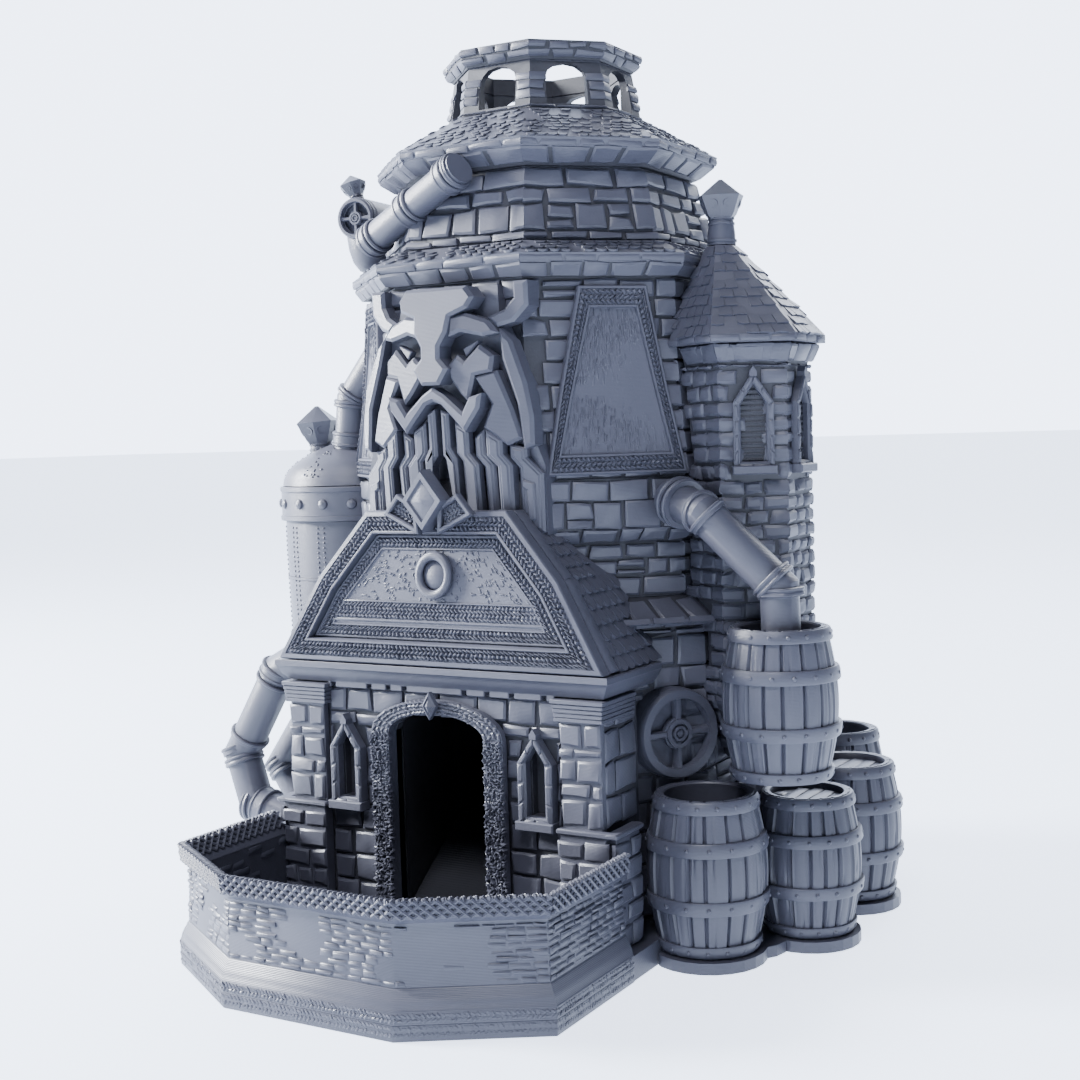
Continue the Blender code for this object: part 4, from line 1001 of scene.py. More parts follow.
def mask():
    solid = Solid()
    ground = whole(((15, 179.6), (16.5, 170), (20, 163), (25, 150), (26.4, 137), (28.6, 131),
                    (28.8, 112.6)))
    outline = np.array(ground)[::-1]
    solid.grid([[(x, -46, z) for x, z in outline], [mask_point(x, z) for x, z in outline]])
    plate(solid, mask_point, whole(((9.6, 179.2), (12, 176.2), (10.6, 173.2), (5.8, 171.2), (5.2, 167),
                                    (3, 163.4), (3, 160.2), (5.6, 157.4), (2.8, 153.2))), -0.6, 6, 0.9)
    both(solid, mask_point, ((4.8, 171.4), (9.6, 172), (15.6, 169.8), (18.4, 166.4), (14.6, 165.6),
                             (8.4, 167),
                             (4.8, 165.8)), -0.6, 4.4, 0.9)
    both(solid, mask_point, ((14.4, 170.6), (18.6, 172.6), (20.8, 175.6), (20.8, 180), (25.2, 180),
                             (25.2, 173.4),
                             (21.4, 169.2), (17.4, 168)), -3, 3.4, 0.9)
    both(solid, mask_point, ((3.9, 158.4), (7, 161), (9.2, 159.2), (13.4, 163.4), (17.2, 160.4),
                             (16.8, 156.2),
                             (12.4, 155.4), (10.4, 148.2), (7.8, 150.8), (5, 154.6)), -0.6, 3.4, 0.8)
    plate(solid, mask_point, whole(((0, 152.6), (3.6, 150.4), (9, 145.8), (11.4, 149.6), (15, 150.6),
                                    (14.2, 146.6), (9.4, 140.4), (6, 144.2), (2.4, 148), (0, 148.8))), -0.6,
                                    5,
          0.8)
    both(solid, mask_point, ((12, 155), (17.8, 156.6), (22, 146), (24.2, 138.4), (20, 136.6), (14, 141.6),
                             (16.4, 147.6)), -0.6, 2.9, 0.8)
    both(solid, mask_point, ((18.2, 167.6), (21.6, 164.2), (26, 153), (27.6, 144), (27.6, 136.6),
                             (24.9, 135.6),
                             (23.6, 147.6), (19.6, 159.4)), -1, 4, 0.8)
    both(solid, mask_point, ((8.2, 162.6), (12.6, 164.6), (12.6, 163.9), (9.4, 160.4)), -0.6, 2, 0.3)
    bands = (
        (((0.9, 146.8), (3.4, 145.6), (3.4, 136.4), (5.2, 133.4), (5.2, 113.4), (3, 113.4), (3, 131.6),
          (0.9, 134.2)), 3),
        (((4.7, 143.4), (8.8, 141), (8.8, 134.8), (11.4, 131.8), (11.4, 113.4), (6.5, 113.4), (6.5, 132.6),
          (4.7, 134.8)), 2.2),
        (((10, 139), (13.2, 141.2), (13.2, 134.8), (15.8, 131.8), (15.8, 113.4), (12.6, 113.4), (12.6, 131),
          (10, 133.8)), 1),
        (((14.4, 141), (18.6, 138.2), (18.6, 134.4), (21, 131.4), (21, 113.4), (17.1, 113.4), (17.1, 131),
          (14.4, 134)), 2.7),
        (((19.9, 137), (24.4, 135.8), (24.4, 133.4), (28.6, 129), (28.6, 113.4), (22.3, 113.4), (22.3, 130.4),
          (19.9, 133.2)), 1.5),
    )
    for outline, height in bands:
        both(solid, mask_point, outline, -0.6, height, 0.55)
        both(solid, mask_point, offset(np.array(outline)[::-1], 0.95), height - 0.4, height + 0.35, 0.3)
    both(solid, mask_point, ((23.4, 127.6), (26.6, 126.4), (26.6, 117), (24.6, 116), (24.6, 124.6),
                             (23.4, 125.4)),
         1.2, 2.5, 0.4)
    solid.make("mask_relief", "plates", "smooth", sharp=25)


def framed_panels():
    for side, label in ((-1, "left"), (1, "right")):
        outwards, sideways = facing(side * pi / 4)

        def place(x, z, h=0):
            face = radius_at(MAIN_WALL, z) * cos(EIGHTH)
            return outwards * (face + h) + sideways * side * x + np.array((0, 0, z))

        outer = np.array(((-17.3, 128), (22.3, 128), (18.3, 150), (13, 178.8), (-6.3, 178.8), (-12.6, 150)))
        inner = np.array(((-14, 132.8), (18.8, 132.8), (15.4, 150), (10.4, 173.6), (-3.6, 173.6),
                          (-9.6, 150)))
        solid = Solid()
        edge = [(offset(outer, 0.3), 1.5), (offset(outer, 0.8), 1.5), (offset(outer, 0.95), 0.9)]
        lip = [(offset(inner, 0.1), 1.4), (offset(inner, 0.6), 1.4), (offset(inner, 0.9), 0.5)]
        solid.grid(layers(place, (outer, -1.6), (outer, 1.1), *edge, (inner, 0.9), *lip))

        def lift(x, z):
            return place(x, z, 0.9)

        first, second = offset(outer, 1), offset(inner, -0.1)
        for k in range(6):
            knit(solid, strip(lift, first, second, k, outwards), 3 if k in (0, 3) else 2, 1.4, 0.85, wild=0.3)
        for corners, count in (((0, 1, 5, 2), 330), ((5, 2, 4, 3), 420)):
            patch = Patch(*[place(*inner[k], 0.5) for k in corners], out=outwards)
            stone(solid, patch, (0, 1), (0, 1), base=-1.4, joint=0, drop=0, chip=0.05, tilt=0, cells=(8, 8))
            for _ in range(count):
                s = rng.uniform(0.05, 0.95)
                bead(solid, patch, s, rng.uniform(0.1, 0.92), rng.uniform(1.2, 3.6), rng.uniform(0.3, 0.55),
                     rng.uniform(0.08, 0.34), pi / 2 + (0.5 - s) * 0.2)
        solid.make("framed_panel_" + label, "relief", "knit")


# ---------------------------------------------------------------- tray

def tray_path(inset):
    half = 58.15 - inset
    right = [(half, -68), (half, -107.55 + inset * 0.53), (25.65 - inset * 0.30, -127.7 + inset)]
    return right + [(-x, y) for x, y in reversed(right)]


def tray_band(solid, profile):
    """A closed section swept along the tray's path, as (inset, height) pairs."""
    points = [(x, y, z) for inset, z in profile for x, y in tray_path(inset)]
    width = len(tray_path(0))
    faces = []
    for a in range(0, len(points), width):
        b = (a + width) % len(points)
        for step in range(width - 1):
            faces.append((a + step, a + step + 1, b + step + 1, b + step))
    faces += [tuple(range(end, len(points), width)) for end in (0, width - 1)]
    solid.add(points, faces)


def tray_patches(low, high, inwards=False):
    """The five sides of the tray between two (inset, height) lines."""
    first, second = tray_path(low[0]), tray_path(high[0])
    made = []
    for k in range(5):
        middle = np.array((*(np.array(first[k]) + np.array(first[k + 1])) / 2, 0)) - np.array((0, -85, 0))
        out = -middle if inwards else middle
        made.append(Patch((*first[k], low[1]), (*first[k + 1], low[1]), (*second[k], high[1]),
                          (*second[k + 1], high[1]), out=out))
    return made


def bar(solid, patch, first, second, width, height):
    """A rounded rib between two points of a patch."""
    a, b = patch.at(*first), patch.at(*second)
    run = b - a
    length = np.linalg.norm(run)
    if length < 0.4:
        return
    across = np.cross(patch.normal, run / length)
    rows = []
    for share in (0, 0.5, 1):
        middle = a + run * share
        ring = []
        for side, level in ((-0.5, -0.4), (-0.42, height * 0.6), (0, height), (0.42, height * 0.6),
                            (0.5, -0.4)):
            ring.append(middle + across * side * width + patch.normal * level)
        rows.append(ring)
    solid.grid(rows)


def lattice(solid, patch, pitch, width, height, lean=1.2):
    """Two families of ribs crossing in diamonds, clipped to the patch."""
    reach = patch.height * lean / patch.width
    count = round(patch.width / pitch)
    step = 1 / count
    for direction in (-1, 1):
        for k in range(-6, count + 7):
            start = k * step if direction > 0 else k * step + reach
            s0, s1 = sorted((start, start + direction * reach))
            if s1 <= 0 or s0 >= 1:
                continue
            ends = []
            for t in (max(0, (0 - s0) / (s1 - s0)), min(1, (1 - s0) / (s1 - s0))):
                ends.append((s0 + (s1 - s0) * t, t if direction > 0 else 1 - t))
            bar(solid, patch, *ends, width, height * (1 if direction > 0 else 0.85))


def tray():
    solid = Solid()
    tray_band(solid, ((0, 4.02), (0, 7), (0.25, 7.4), (0.5, 8.6), (1, 9.8), (1.6, 10.8), (1.8, 11.4),
                      (2.2, 12), (5.4, 12), (5.4, 4.02)))
    for patch in tray_patches((0, 4.4), (0, 6.8)):
        knit(solid, patch, 2, 1.15, 0.2, wild=0.5)
    solid.make("tray_foot", "cove", "smooth", "tray")

    solid = Solid()
    tray_band(solid, ((2.3, 12.02), (2.9, 26), (2.7, 27.1), (5.6, 27.1), (5.4, 12.02)))
    for side in tray_patches((2.4, 12.2), (2.85, 26.4)):
        z = 0
        while z < 0.96:
            tall = rng.uniform(1.3, 2.1) / side.height
            cuts = splits(side.width, 4.6, rng.random() < 0.5)
            for k in range(len(cuts) - 1):
                spot = side.at((cuts[k] + cuts[k + 1]) / 2, z + tall / 2)
                patchy = field([spot * np.array((1, 1, 1.4))], 11, 21)[0, 0] + field([spot], 4, 23)[0,
                                                                                                    0] * 0.4
                near_corner = min(cuts[k], 1 - cuts[k + 1]) * side.width < 12
                if patchy + (0.4 if near_corner else 0) < 0:
                    continue
                stone(solid, side, (cuts[k], cuts[k + 1]), (z, min(1, z + tall)), top=rng.uniform(0.22, 0.55),
                      base=-0.4, joint=0.35, bevel=0.55, drop=0.35, chip=0.2, tilt=0.2, cells=(2, 2))
            z += tall
    for side in tray_patches((5.4, 12.4), (5.6, 26.8), inwards=True):
        for level in range(6):
            cuts = splits(side.width, 6.5, level % 2)
            for k in range(len(cuts) - 1):
                if rng.random() < 0.45:
                    stone(solid, side, (cuts[k], cuts[k + 1]), (level / 6, (level + 1) / 6), top=0.35,
                          base=-0.4,
                          joint=0.5, drop=0.3, chip=0.12, cells=(2, 2))
    solid.make("tray_wall", "bricks", "smooth", "tray", sharp=40)

    solid = Solid()
    tray_band(solid, ((2.7, 27.1), (1.8, 28), (1.3, 28.5), (1.2, 29.2), (0.9, 32.6), (0.6, 33), (1.2, 33),
                      (2.2, 32.6), (4.4, 29.2), (5.6, 27.2)))
    for patch in tray_patches((1.25, 28.7), (0.85, 33)):
        lattice(solid, patch, 2.7, 1, 0.75)
    for patch in tray_patches((4.5, 29), (2, 32.9), inwards=True):
        lattice(solid, patch, 2.7, 1, 0.7)
    for patch in tray_patches((0.3, 33.05), (2.2, 33)):
        top = Patch(*patch.corners, out=UP)
        knit(solid, top, 1, 1.5, 0.45, turn=1, wild=0.1)
    solid.make("tray_rim", "lattice", "knit", "tray")

    solid = Solid()
    solid.grid([[(x, y, z) for x, y in tray_path(inset)] for inset, z in ((0.25, 0), (0, 0.3), (0, 3.9),
                                                                          (0.2, 4))])
    for patch in tray_patches((0, 0.8), (0, 4)):
        knit(solid, patch, 2, 1.2, 0.16, wild=0.5)
    for step in range(14):
        x = -50 + step * 7.4
        end = -120 if abs(x + 3) < 26 else -106
        floor = Patch((x, end, 4), (x + 7.1, end, 4), (x, -69.5, 4), (x + 7.1, -69.5, 4), out=UP)
        stone(solid, floor, (0, 1), (0, 1), top=0.3, base=-0.3, joint=0.2, drop=0.25, chip=0.05, tilt=0.05)
    solid.make("tray_floor", "boards", "smooth", "tray", sharp=40)


# ---------------------------------------------------------------- round work

def frame_at(foot, direction):
    """A foot point, a unit direction and two unit vectors square to it."""
    direction = unit(direction)
    helper = np.array((0, 0, 1)) if abs(direction[2]) < 0.9 else np.array((1, 0, 0))
    first = unit(np.cross(helper, direction))
    return np.array(foot, float), direction, first, np.cross(direction, first)


def lathe(solid, foot, direction, profile, sides=36, closed=False, warp=None):
    """Spins (radius, distance) pairs about an axis; closed profiles become rings."""
    origin, axis, first, second = frame_at(foot, direction)
    rows = []
    for radius, distance in profile:
        ring = []
        for angle in around(sides):
            reach = radius if warp is None else warp(radius, angle)
            ring.append(origin + axis * distance + (first * cos(angle) + second * sin(angle)) * reach)
        rows.append(ring)
    solid.grid(rows, ring=closed)


def dome(solid, foot, direction, radius, height, sides=10):
    """A rivet head."""
    lathe(solid, foot, direction, ((radius, -0.5), (radius, 0), (radius * 0.82, height * 0.6),
                                   (radius * 0.4, height * 0.95), (radius * 0.05, height)), sides)


def tubing(solid, points, radius, sides=40):
    """A smooth pipe along straight runs with mitred bends."""
    points = [np.array(point, float) for point in points]
    runs = [unit(b - a) for a, b in zip(points, points[1:])]
    first = unit(np.cross((0, 1, 0.1), runs[0]))
    rings = []
    for index, point in enumerate(points):
        run = runs[max(index - 1, 0)]
        second = np.cross(run, first)
        after = runs[min(index, len(runs) - 1)]
        heading = unit(run + after)
        ring = []
        for angle in around(sides):
            spoke = (first * cos(angle) + second * sin(angle)) * radius
            ring.append(point + spoke - run * np.dot(spoke, heading) / np.dot(run, heading))
        rings.append(ring)
        if index:
            first = unit(first - (run + after) * np.dot(first, after) / (1 + np.dot(run, after)))
    solid.grid(rings)


def ferrule(solid, at, direction, length, radius, lips=1, warp=None):
    """A collar with a rounded bead at one or both ends."""
    swell = radius + 0.9
    profile = [(radius - 0.8, 0), (swell - 0.35, 0), (swell, 0.3), (swell, 0.8), (swell - 0.3, 1.1)]
    if length > 2.4:
        profile += [(swell - 0.3, length - 1.1)]
    if lips > 1:
        profile += [(swell, length - 0.8), (swell, length - 0.3)]
    profile += [(swell - 0.35, length), (radius - 0.8, length)]
    lathe(solid, at, direction, profile, 40, closed=True, warp=warp)


def wave(radius, angle):
    """A collar's edge that ripples five times round."""
    return radius + 0.35 * cos(5 * angle) * (radius > 5)


# Node, body, radius, route, and collars as (run, distance, length, lips, and where it differs radius and
# warp).
PIPES = (
    ("downpipe", "tower", 5.1,
     ((53.4, -30.4, 121.2), (67.4, -39.5, 117.4), (86.5, -36, 98), (86.8, -35.5, 76)),
     ((0, 3.6, 2, 1, 6), (0, 6.4, 1.6, 1, 6), (0, 15, 1.8, 1), (1, 0.4, 2, 1), (1, 23.6, 2.6, 2, 5.2, wave),
      (2, -0.4, 2.4, 2, 5.2, wave))),
    ("drain_pipe_front", "tower", 5.4,
     ((-44, -41, 85.8), (-75.5, -41, 69), (-92, -41, 42.5), (-86, -42, 27), (-50, -43, 18)),
     ((1, -1.6, 3.6, 2), (1, 3, 1.6, 1), (2, -2.4, 2.4, 1), (2, 1.2, 2.4, 2), (3, -2.2, 2.4, 2),
      (3, 1.6, 4.6, 2),
      (1, 24, 2, 1))),
    ("drain_pipe_rear", "tower", 4.6,
     ((-74, -20, 62), (-93, -21, 35), (-84, -22, 23), (-50, -23, 16)),
     ((1, -2, 2.4, 2), (1, 1.4, 2.4, 2), (2, -1.2, 2.4, 2), (2, 2.4, 2.4, 2))),
    ("boiler_pipe", "tower", 4.6,
     ((-63.2, -18, 136.6), (-61.2, -18.4, 152), (-48.8, -16.6, 168.8)),
     ((0, 0.8, 4.4, 2), (0, 13, 2.2, 2), (1, 0.4, 2.2, 2))),
    ("tank_pipe", "upper_storey", 4.4,
     ((-38, -38.5, 196.1), (1.6, -49.7, 212.4)),
     ((0, 1, 3.4, 2), (0, 5, 1.2, 1), (0, 18.9, 3.6, 2), (0, 23.1, 1.2, 1), (0, 37.8, 3.4, 2),
      (0, 41.8, 1.6, 1))),
)


def pipes():
    for name, body, radius, route, collars in PIPES:
        solid = Solid()
        tubing(solid, route, radius)
        for index, distance, length, lips, *other in collars:
            start, end = (np.array(point, float) for point in route[index:index + 2])
            heading = unit(end - start)
            ferrule(solid, start + heading * distance, heading, length, other[0] if other else radius, lips,
                    *other[1:])
        solid.make(name, "run", "smooth", body)


def crystal(name, body, foot, stem, cap, height, lean=0):
    """A ringed stem under a faceted cap with round dimples."""
    solid = Solid()
    axis = np.array((sin(lean), 0, cos(lean)))
    lathe(solid, foot, axis, ((stem, 0), (stem * 0.96, height * 0.18), (stem * 0.84, height * 0.40)), 24)
    for level, grow in ((0.04, 0.35), (0.30, 0.25), (0.38, 0.3)):
        reach = stem * (1 - level * 0.4) + grow
        lathe(solid, foot, axis, ((reach - 0.7, height * level), (reach, height * level + 0.15),
                                  (reach, height * level + 0.75), (reach - 0.7, height * level + 0.9)), 24,
                                  closed=True)
    origin, direction, first, second = frame_at(foot, axis)
    rows = []
    for reach, level in ((stem * 0.9, 0.40), (stem * 1.15, 0.47), (cap, 0.74), (cap * 0.08, 1)):
        ring = []
        for k in range(8):
            angle = EIGHTH + 2 * pi * k / 8
            wide = 1.08 if k % 2 else 0.94
            spoke = first * cos(angle) + second * sin(angle)
            ring.append(origin + direction * height * level + spoke * reach * wide)
        rows.append(ring)
    solid.grid(rows)
    for k in range(8):
        angle = 2 * pi * (k + 1) / 8
        out = first * cos(angle) + second * sin(angle)
        middle = origin + direction * height * 0.615 + out * (stem * 1.15 + cap) * 0.455
        profile = ((cap * 0.20, -0.4), (cap * 0.20, 0.25), (cap * 0.13, 0.25), (cap * 0.13, -0.4))
        lathe(solid, middle, unit(out - direction * 0.42), profile, 14, closed=True)
    solid.make(name, "cap", "crystal", body, sharp=20)


def boiler():
    centre = np.array((-66, -12, 0))
    solid = Solid()
    profile = ((13, 60), (17.4, 62.4), (20.6, 66), (21.2, 74), (21.6, 90), (22, 106), (22, 114.4))
    lathe(solid, centre, UP, profile, 64)
    for z in (78, 96):
        lathe(solid, centre, UP, ((21, z), (22.1, z + 0.3), (22.1, z + 1), (21, z + 1.3)), 64, closed=True)
    for k in range(12):
        angle = 2 * pi * k / 12 + 0.12
        out = np.array((cos(angle), sin(angle), 0))
        if centre[0] + 22 * out[0] > -56:
            continue
        for z in np.arange(67.5, 113.5, 1.5):
            for shift in (-1.1, 1.1):
                side = np.array((-out[1], out[0], 0))
                reach = float(np.interp(z, (66, 74, 90, 106), (20.6, 21.2, 21.6, 22)))
                spot = centre + np.array((0, 0, z)) + out * (reach - 0.05) + side * shift
                dome(solid, spot, out, 0.42, 0.35, 6)
    solid.make("boiler_body", "plates", "smooth")

    solid = Solid()
    profile = ((21.6, 114.6), (23.3, 114.6), (23.6, 114.9), (23.6, 116), (23.2, 116.3), (23.2, 123.4),
               (23.6, 123.8),
               (23.6, 124.9), (23.3, 125.2), (21.6, 125.2))
    lathe(solid, centre, UP, profile, 64, closed=True)
    for k in range(16):
        angle = 2 * pi * k / 16 + 0.2
        out = np.array((cos(angle), sin(angle), 0))
        dome(solid, centre + np.array((0, 0, 119.9)) + out * 23.1, out, 1.6, 1.1, 16)
    solid.make("boiler_hoop", "rivets", "smooth")

    solid = Solid()
    profile = []
    for step in range(11):
        angle = pi / 2 * step / 10.3
        profile.append((22.6 * cos(angle) ** 1.5, 125.5 + 14 * sin(angle)))
    lathe(solid, centre, UP, profile, 64)
    for seam in around(6):
        for step in range(26):
            rise = rng.uniform(0.15, 1.1)
            angle = seam + 0.5 + rng.uniform(-0.16, 0.16)
            out = np.array((cos(angle) * cos(rise), sin(angle) * cos(rise), sin(rise)))
            reach = 22.5 * cos(rise) ** 1.5
            spot = np.array((centre[0] + reach * cos(angle), centre[1] + reach * sin(angle),
                             125.45 + 14 * sin(rise)))
            dome(solid, spot, out, rng.uniform(0.3, 0.5), 0.35, 6)
    solid.make("boiler_dome", "plates", "smooth")


def tank():
    out = facing(radians(6))[0]
    face = np.array((-55.2, -20.4, 207))
    solid = Solid()
    profile = ((6.4, 0), (6.4, 22), (6.1, 22.2), (6.1, 22.8), (6.4, 23), (6.4, 24), (4.4, 24), (4.4, 22.6))
    lathe(solid, face - out * 24, out, profile, 40)
    profile = ((1.2, 190.6), (3.6, 191.6), (5.6, 194.2), (6.8, 198), (7.3, 202), (7.3, 206), (6.3, 209),
               (3, 210))
    lathe(solid, (-55.8, -12.8, 0), UP, profile, 36)
    solid.make("upper_tank", "drum", "smooth", "upper_storey")
    solid = Solid()
    wheel(solid, face + out * 0.3, out, 6.2, 4.7, 1.3)
    solid.make("upper_tank_wheel", "spokes", "smooth", "upper_storey")


def wheel(solid, face, out, outer, inner, depth):
    """A rim, four spokes and a double hub, facing outwards."""
    origin, axis, first, second = frame_at(face, out)
    profile = ((inner, -0.6), (inner, depth * 0.5), (inner + 0.3, depth), (outer - 0.5, depth),
               (outer, depth * 0.6),
               (outer, -0.6))
    lathe(solid, face, out, profile, 48, closed=True)
    scale = outer / 12.4
    for angle in around(4):
        along = first * cos(angle) + second * sin(angle)
        across = np.cross(axis, along)
        rows = []
        for distance, wide in ((2.4 * scale, 1.1), (inner * 0.55, 1), (inner * 0.85, 1.1),
                               (inner + 0.2, 1.5)):
            wide *= max(scale, 0.6)
            ring = []
            for side, level in ((-1, -0.8), (-1, 0.25), (-0.55, depth * 0.62), (0.55, depth * 0.62),
                                (1, 0.25), (1, -0.8)):
                ring.append(origin + along * distance + across * side * wide + axis * level)
            rows.append(ring)
        solid.grid(rows)
    for r0, r1, level in ((3.9, 2.8, 0.8), (2.1, 1.4, 0.9), (0.9, 0.05, 0.75)):
        lathe(solid, face, out, ((r1 * scale, -0.8), (r1 * scale, depth * level), (r0 * scale, depth * level),
                                 (r0 * scale + 0.1, -0.8)), 28, closed=True)
    lathe(solid, face, out, ((4.4 * scale, -0.8), (4.4 * scale, depth * 0.35), (0.4 * scale, depth * 0.35)),
          28)


def hatch():
    out = facing(radians(58))[0]
    face = np.array((57, -34.6, 57.6))
    solid = Solid()
    lathe(solid, face - out * 9, out, ((12.4, 0), (12.4, 6.4), (12.1, 7), (10.4, 7), (10.3, 5.4)), 48)
    wheel(solid, face - out * 2, out, 12.3, 9.4, 2)
    solid.make("side_hatch", "wheel", "smooth")


# ---------------------------------------------------------------- barrels

BARRELS = (
    ("barrel_front", 66.8, -41.2, 3.4, 16.4, 41, True),
    ("barrel_middle", 85.2, -15.6, 3.4, 14.9, 37.6, False),
    ("barrel_rear", 84.4, 21, 3.4, 15.4, 38.6, False),
    ("barrel_upper", 85.2, -33.5, 48.4, 15.8, 39.6, True),
    ("barrel_back", 70, 51, 3.4, 15.4, 42, True),
)


def barrel(name, x, y, foot, belly, height, is_open):
    solid = Solid()
    end = belly * 0.81
    staves = 17
    turn = rng.uniform(0, 1)
    widths = np.cumsum(rng.uniform(0.7, 1.3, staves))
    edges = np.concatenate(([0], widths / widths[-1]))
    lift = rng.uniform(-0.22, 0.22, staves)
    cracks = [(rng.uniform(0, 1), rng.uniform(0.05, 0.9), rng.uniform(0.06, 0.3)) for k in range(60)]
    sides = 250

    def bulge(share):
        return end + (belly - end) * sin(pi * share) - 0.75

    def skin(radius, share, part):
        index = min(int(np.searchsorted(edges, part, side="right")) - 1, staves - 1)
        wide = (edges[index + 1] - edges[index]) * 2 * pi * belly
        near = min(part - edges[index], edges[index + 1] - part) * 2 * pi * belly
        level = lift[index] + 0.22 * (1 - (1 - min(1, 2 * near / wide)) ** 2)
        level += 0.22 * max(0, 1 - abs(near - 0.75) / 0.35) - 0.8 * max(0, 1 - near / 0.5)
        for spot, middle, long in cracks:
            apart = abs((part - spot + 0.5) % 1 - 0.5) * 2 * pi * belly
            if apart < 0.45 and abs(share - middle) < long:
                level -= 0.35 * (1 - apart / 0.45) * (1 - abs(share - middle) / long)
        return radius + level

    def ring(reaches, z):
        turned = zip(reaches, around(sides))
        return [(x + reach * sin(angle), y - reach * cos(angle), z) for reach, angle in turned]

    rows = []
    for share in np.linspace(0, 1, 27):
        reaches = [skin(bulge(share), share, (k / sides + turn) % 1) for k in range(sides)]
        rows.append(ring(reaches, foot + height * share))
    rim = end - 2.3
    top = foot + height
    floor = foot + 4 if is_open else top - 2
    inside = ((end - 1, top), (rim + 0.3, top - 0.2), (rim, top - 0.6))
    if is_open:
        inside += ((belly - 3, foot + height / 2), (rim, floor + 0.5))
    inside += ((rim, floor), (rim * 0.1, floor))
    for reach, z in inside:
        rows.append(ring([reach] * sides, z))
    solid.grid(rows)

    def wobble(radius, angle):
        return radius + 0.12 * sin(3 * angle + belly) + 0.08 * sin(7 * angle)

    for low, high in ((0, 0.075), (0.285, 0.375), (0.655, 0.745), (0.915, 0.995)):
        profile = []
        for share, proud in ((low, -0.6), (low, 0.75), (low + 0.012, 1), (high - 0.012, 1), (high, 0.75),
                             (high, -0.6)):
            profile.append((bulge(share) + proud, foot + height * share))
        lathe(solid, (x, y, 0), UP, profile, 72, closed=True, warp=wobble)
        middle = (low + high) / 2
        phase = rng.uniform(0, 1)
        for k in range(staves):
            out = facing(2 * pi * (k + phase) / staves)[0]
            spot = np.array((x, y, foot + height * middle)) + out * (bulge(middle) + 0.95)
            dome(solid, spot, out, 0.62, 0.4, 8)
    if not is_open:
        cuts = np.linspace(-rim, rim, 6)
        for a, b in zip(cuts, cuts[1:]):
            reach = sqrt(max(rim ** 2 - max(abs(a), abs(b)) ** 2, 4))
            lid = Patch(*[(x + s, y + t, floor) for t in (-reach, reach) for s in (a, b)], out=UP)
            stone(solid, lid, (0, 1), (0, 1), top=0.45, base=-0.4, joint=0.5, drop=0.3, chip=0.12,
                  cells=(2, 6))
    solid.make(name, "staves", "wood", sharp=38)


# ---------------------------------------------------------------- stage

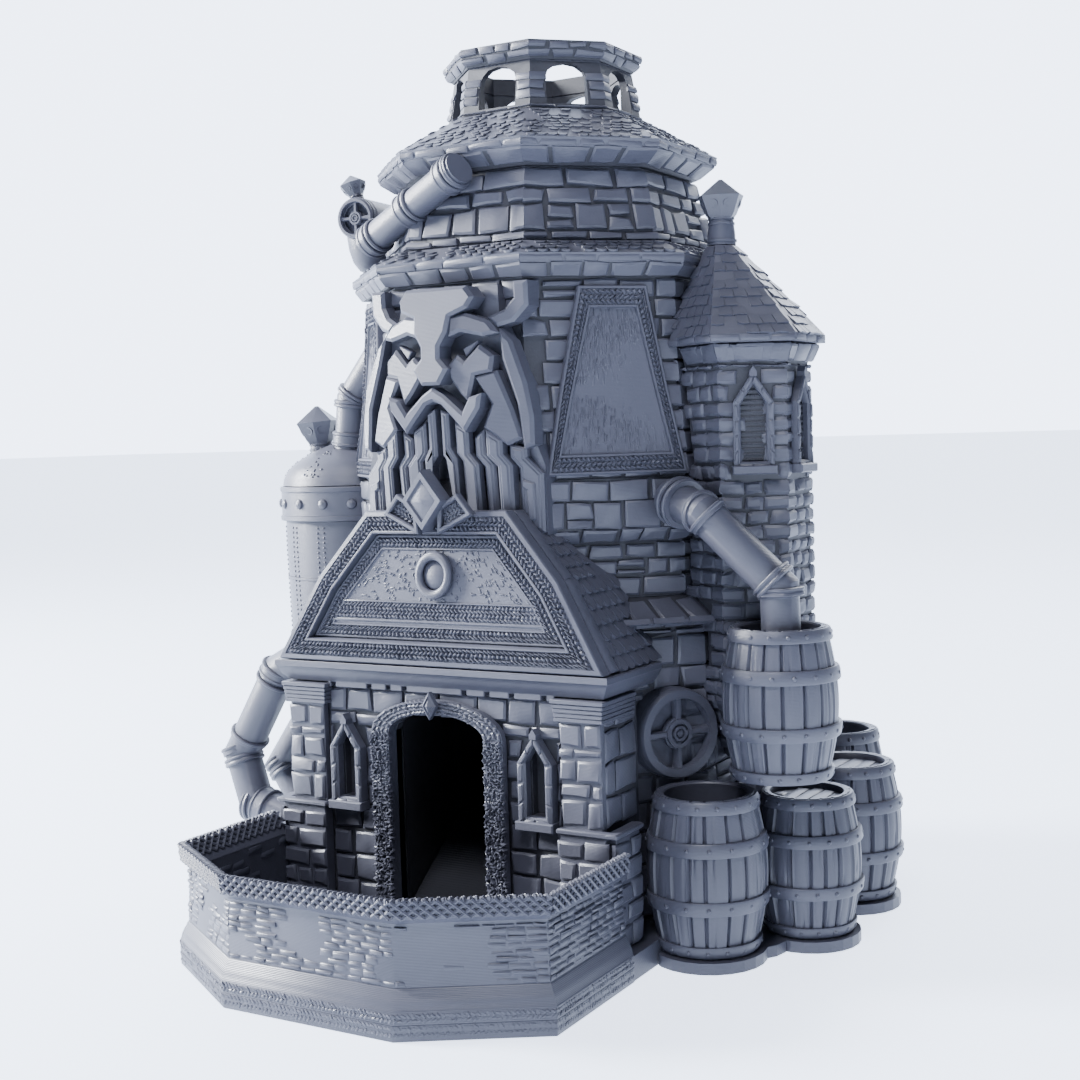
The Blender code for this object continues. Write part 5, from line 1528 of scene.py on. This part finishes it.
def stage():
    """Pale seamless floor, a large soft light from the left and the camera."""
    bpy.ops.mesh.primitive_plane_add(size=40, location=(0, 0, 0))
    floor = bpy.context.object
    floor.name = "floor"
    mat = bpy.data.materials.new("pale_floor")
    mat.use_nodes = True
    shader = mat.node_tree.nodes["Principled BSDF"]
    shader.inputs["Base Color"].default_value = (0.34, 0.38, 0.44, 1)
    shader.inputs["Roughness"].default_value = 0.7
    shader.inputs["Emission Color"].default_value = (0.71, 0.80, 1, 1)
    shader.inputs["Emission Strength"].default_value = 3.2
    floor.data.materials.append(mat)

    world = bpy.data.worlds.new("studio")
    bpy.context.scene.world = world
    world.use_nodes = True
    tree = world.node_tree
    sky = tree.nodes["Background"]
    place = tree.nodes.new("ShaderNodeTexCoord")
    # The sky brightens towards one side, behind and to the left.
    towards = tree.nodes.new("ShaderNodeVectorMath")
    towards.operation = "DOT_PRODUCT"
    towards.inputs[1].default_value = (-0.72, 0.69, 0)
    tree.links.new(place.outputs["Generated"], towards.inputs[0])
    ramp = tree.nodes.new("ShaderNodeMapRange")
    ramp.interpolation_type = "SMOOTHSTEP"
    ramp.inputs["From Min"].default_value = 0.25
    ramp.inputs["From Max"].default_value = 0.85
    ramp.inputs["To Min"].default_value = 0.15
    ramp.inputs["To Max"].default_value = 6.2
    tree.links.new(towards.outputs["Value"], ramp.inputs["Value"])
    tree.links.new(ramp.outputs["Result"], sky.inputs["Strength"])
    sky.inputs["Color"].default_value = (0.70, 0.79, 1, 1)

    def area(name, spot, target, size, power, colour):
        lamp = bpy.data.lights.new(name, "AREA")
        lamp.shape = "DISK"
        lamp.size = size
        lamp.energy = power
        lamp.color = colour
        holder = bpy.data.objects.new(name, lamp)
        bpy.context.scene.collection.objects.link(holder)
        holder.location = spot
        holder.rotation_euler = (Vector(target) - Vector(spot)).to_track_quat("-Z", "Y").to_euler()

    area("key", (-1.03, -0.42, 0.60), (0, -0.02, 0.13), 0.40, 108, (0.93, 0.96, 1))
    area("fill", (0.75, -0.95, 0.55), (0, 0, 0.1), 0.5, 0.6, (0.82, 0.90, 1))
    area("front", (0.15, -0.75, 1.15), (0, -0.02, 0.19), 0.45, 16, (0.88, 0.90, 1))
    area("back", (0.2, 0.9, 0.95), (0, 0, 0.15), 0.6, 14, (0.92, 0.95, 1))

    # The camera stands where the photo was taken: turned right, looking slightly down, rolled a little.
    yaw, pitch, roll = 0.5275698621875947, 0.06714707733492843, -0.029391065778058206
    stand = Vector((236.08, -414.47, 139.23)) * MM
    focal_length = 52.2854592
    lens = bpy.data.cameras.new("view")
    lens.sensor_width = 36
    lens.lens = focal_length
    lens.clip_end = 60
    holder = bpy.data.objects.new("view", lens)
    bpy.context.scene.collection.objects.link(holder)
    look = np.array((-sin(yaw) * cos(pitch), cos(yaw) * cos(pitch), -sin(pitch)))
    side = np.array((cos(yaw), sin(yaw), 0))
    over = np.cross(side, look)
    right = side * cos(roll) + over * sin(roll)
    above = over * cos(roll) - side * sin(roll)
    turn = Matrix([(right[k], above[k], -look[k]) for k in range(3)]).to_4x4()
    holder.matrix_world = Matrix.Translation(stand) @ turn
    bpy.context.scene.camera = holder


stage()
walls()
storey()
gate_walls()
pilasters()
door()
cornice()
gable_front()
gable_tiles()
turret()
mask()
framed_panels()
tray()
pipes()
crystal("turret_chimney", "tower", (61, -9.5, 189.8), 4, 6.7, 18)
crystal("boiler_chimney", "tower", (-76.8, -14, 130), 4, 7.4, 20.4, radians(-5))
crystal("upper_tank_chimney", "upper_storey", (-58.2, -14, 210), 2.2, 4.4, 12, radians(-18))
boiler()
tank()
hatch()
for spec in BARRELS:
    barrel(*spec)
for name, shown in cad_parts.items():
    if not shown.hide_render:
        # Inner parts (baffles, chute, exit) take the much darker tint: painted shade for the unlit interior.
        hidden = name.startswith(("baffle", "chute", "exit"))
        shown.data.materials.clear()
        shown.data.materials.append(LOOKS["inside" if hidden else "smooth"])
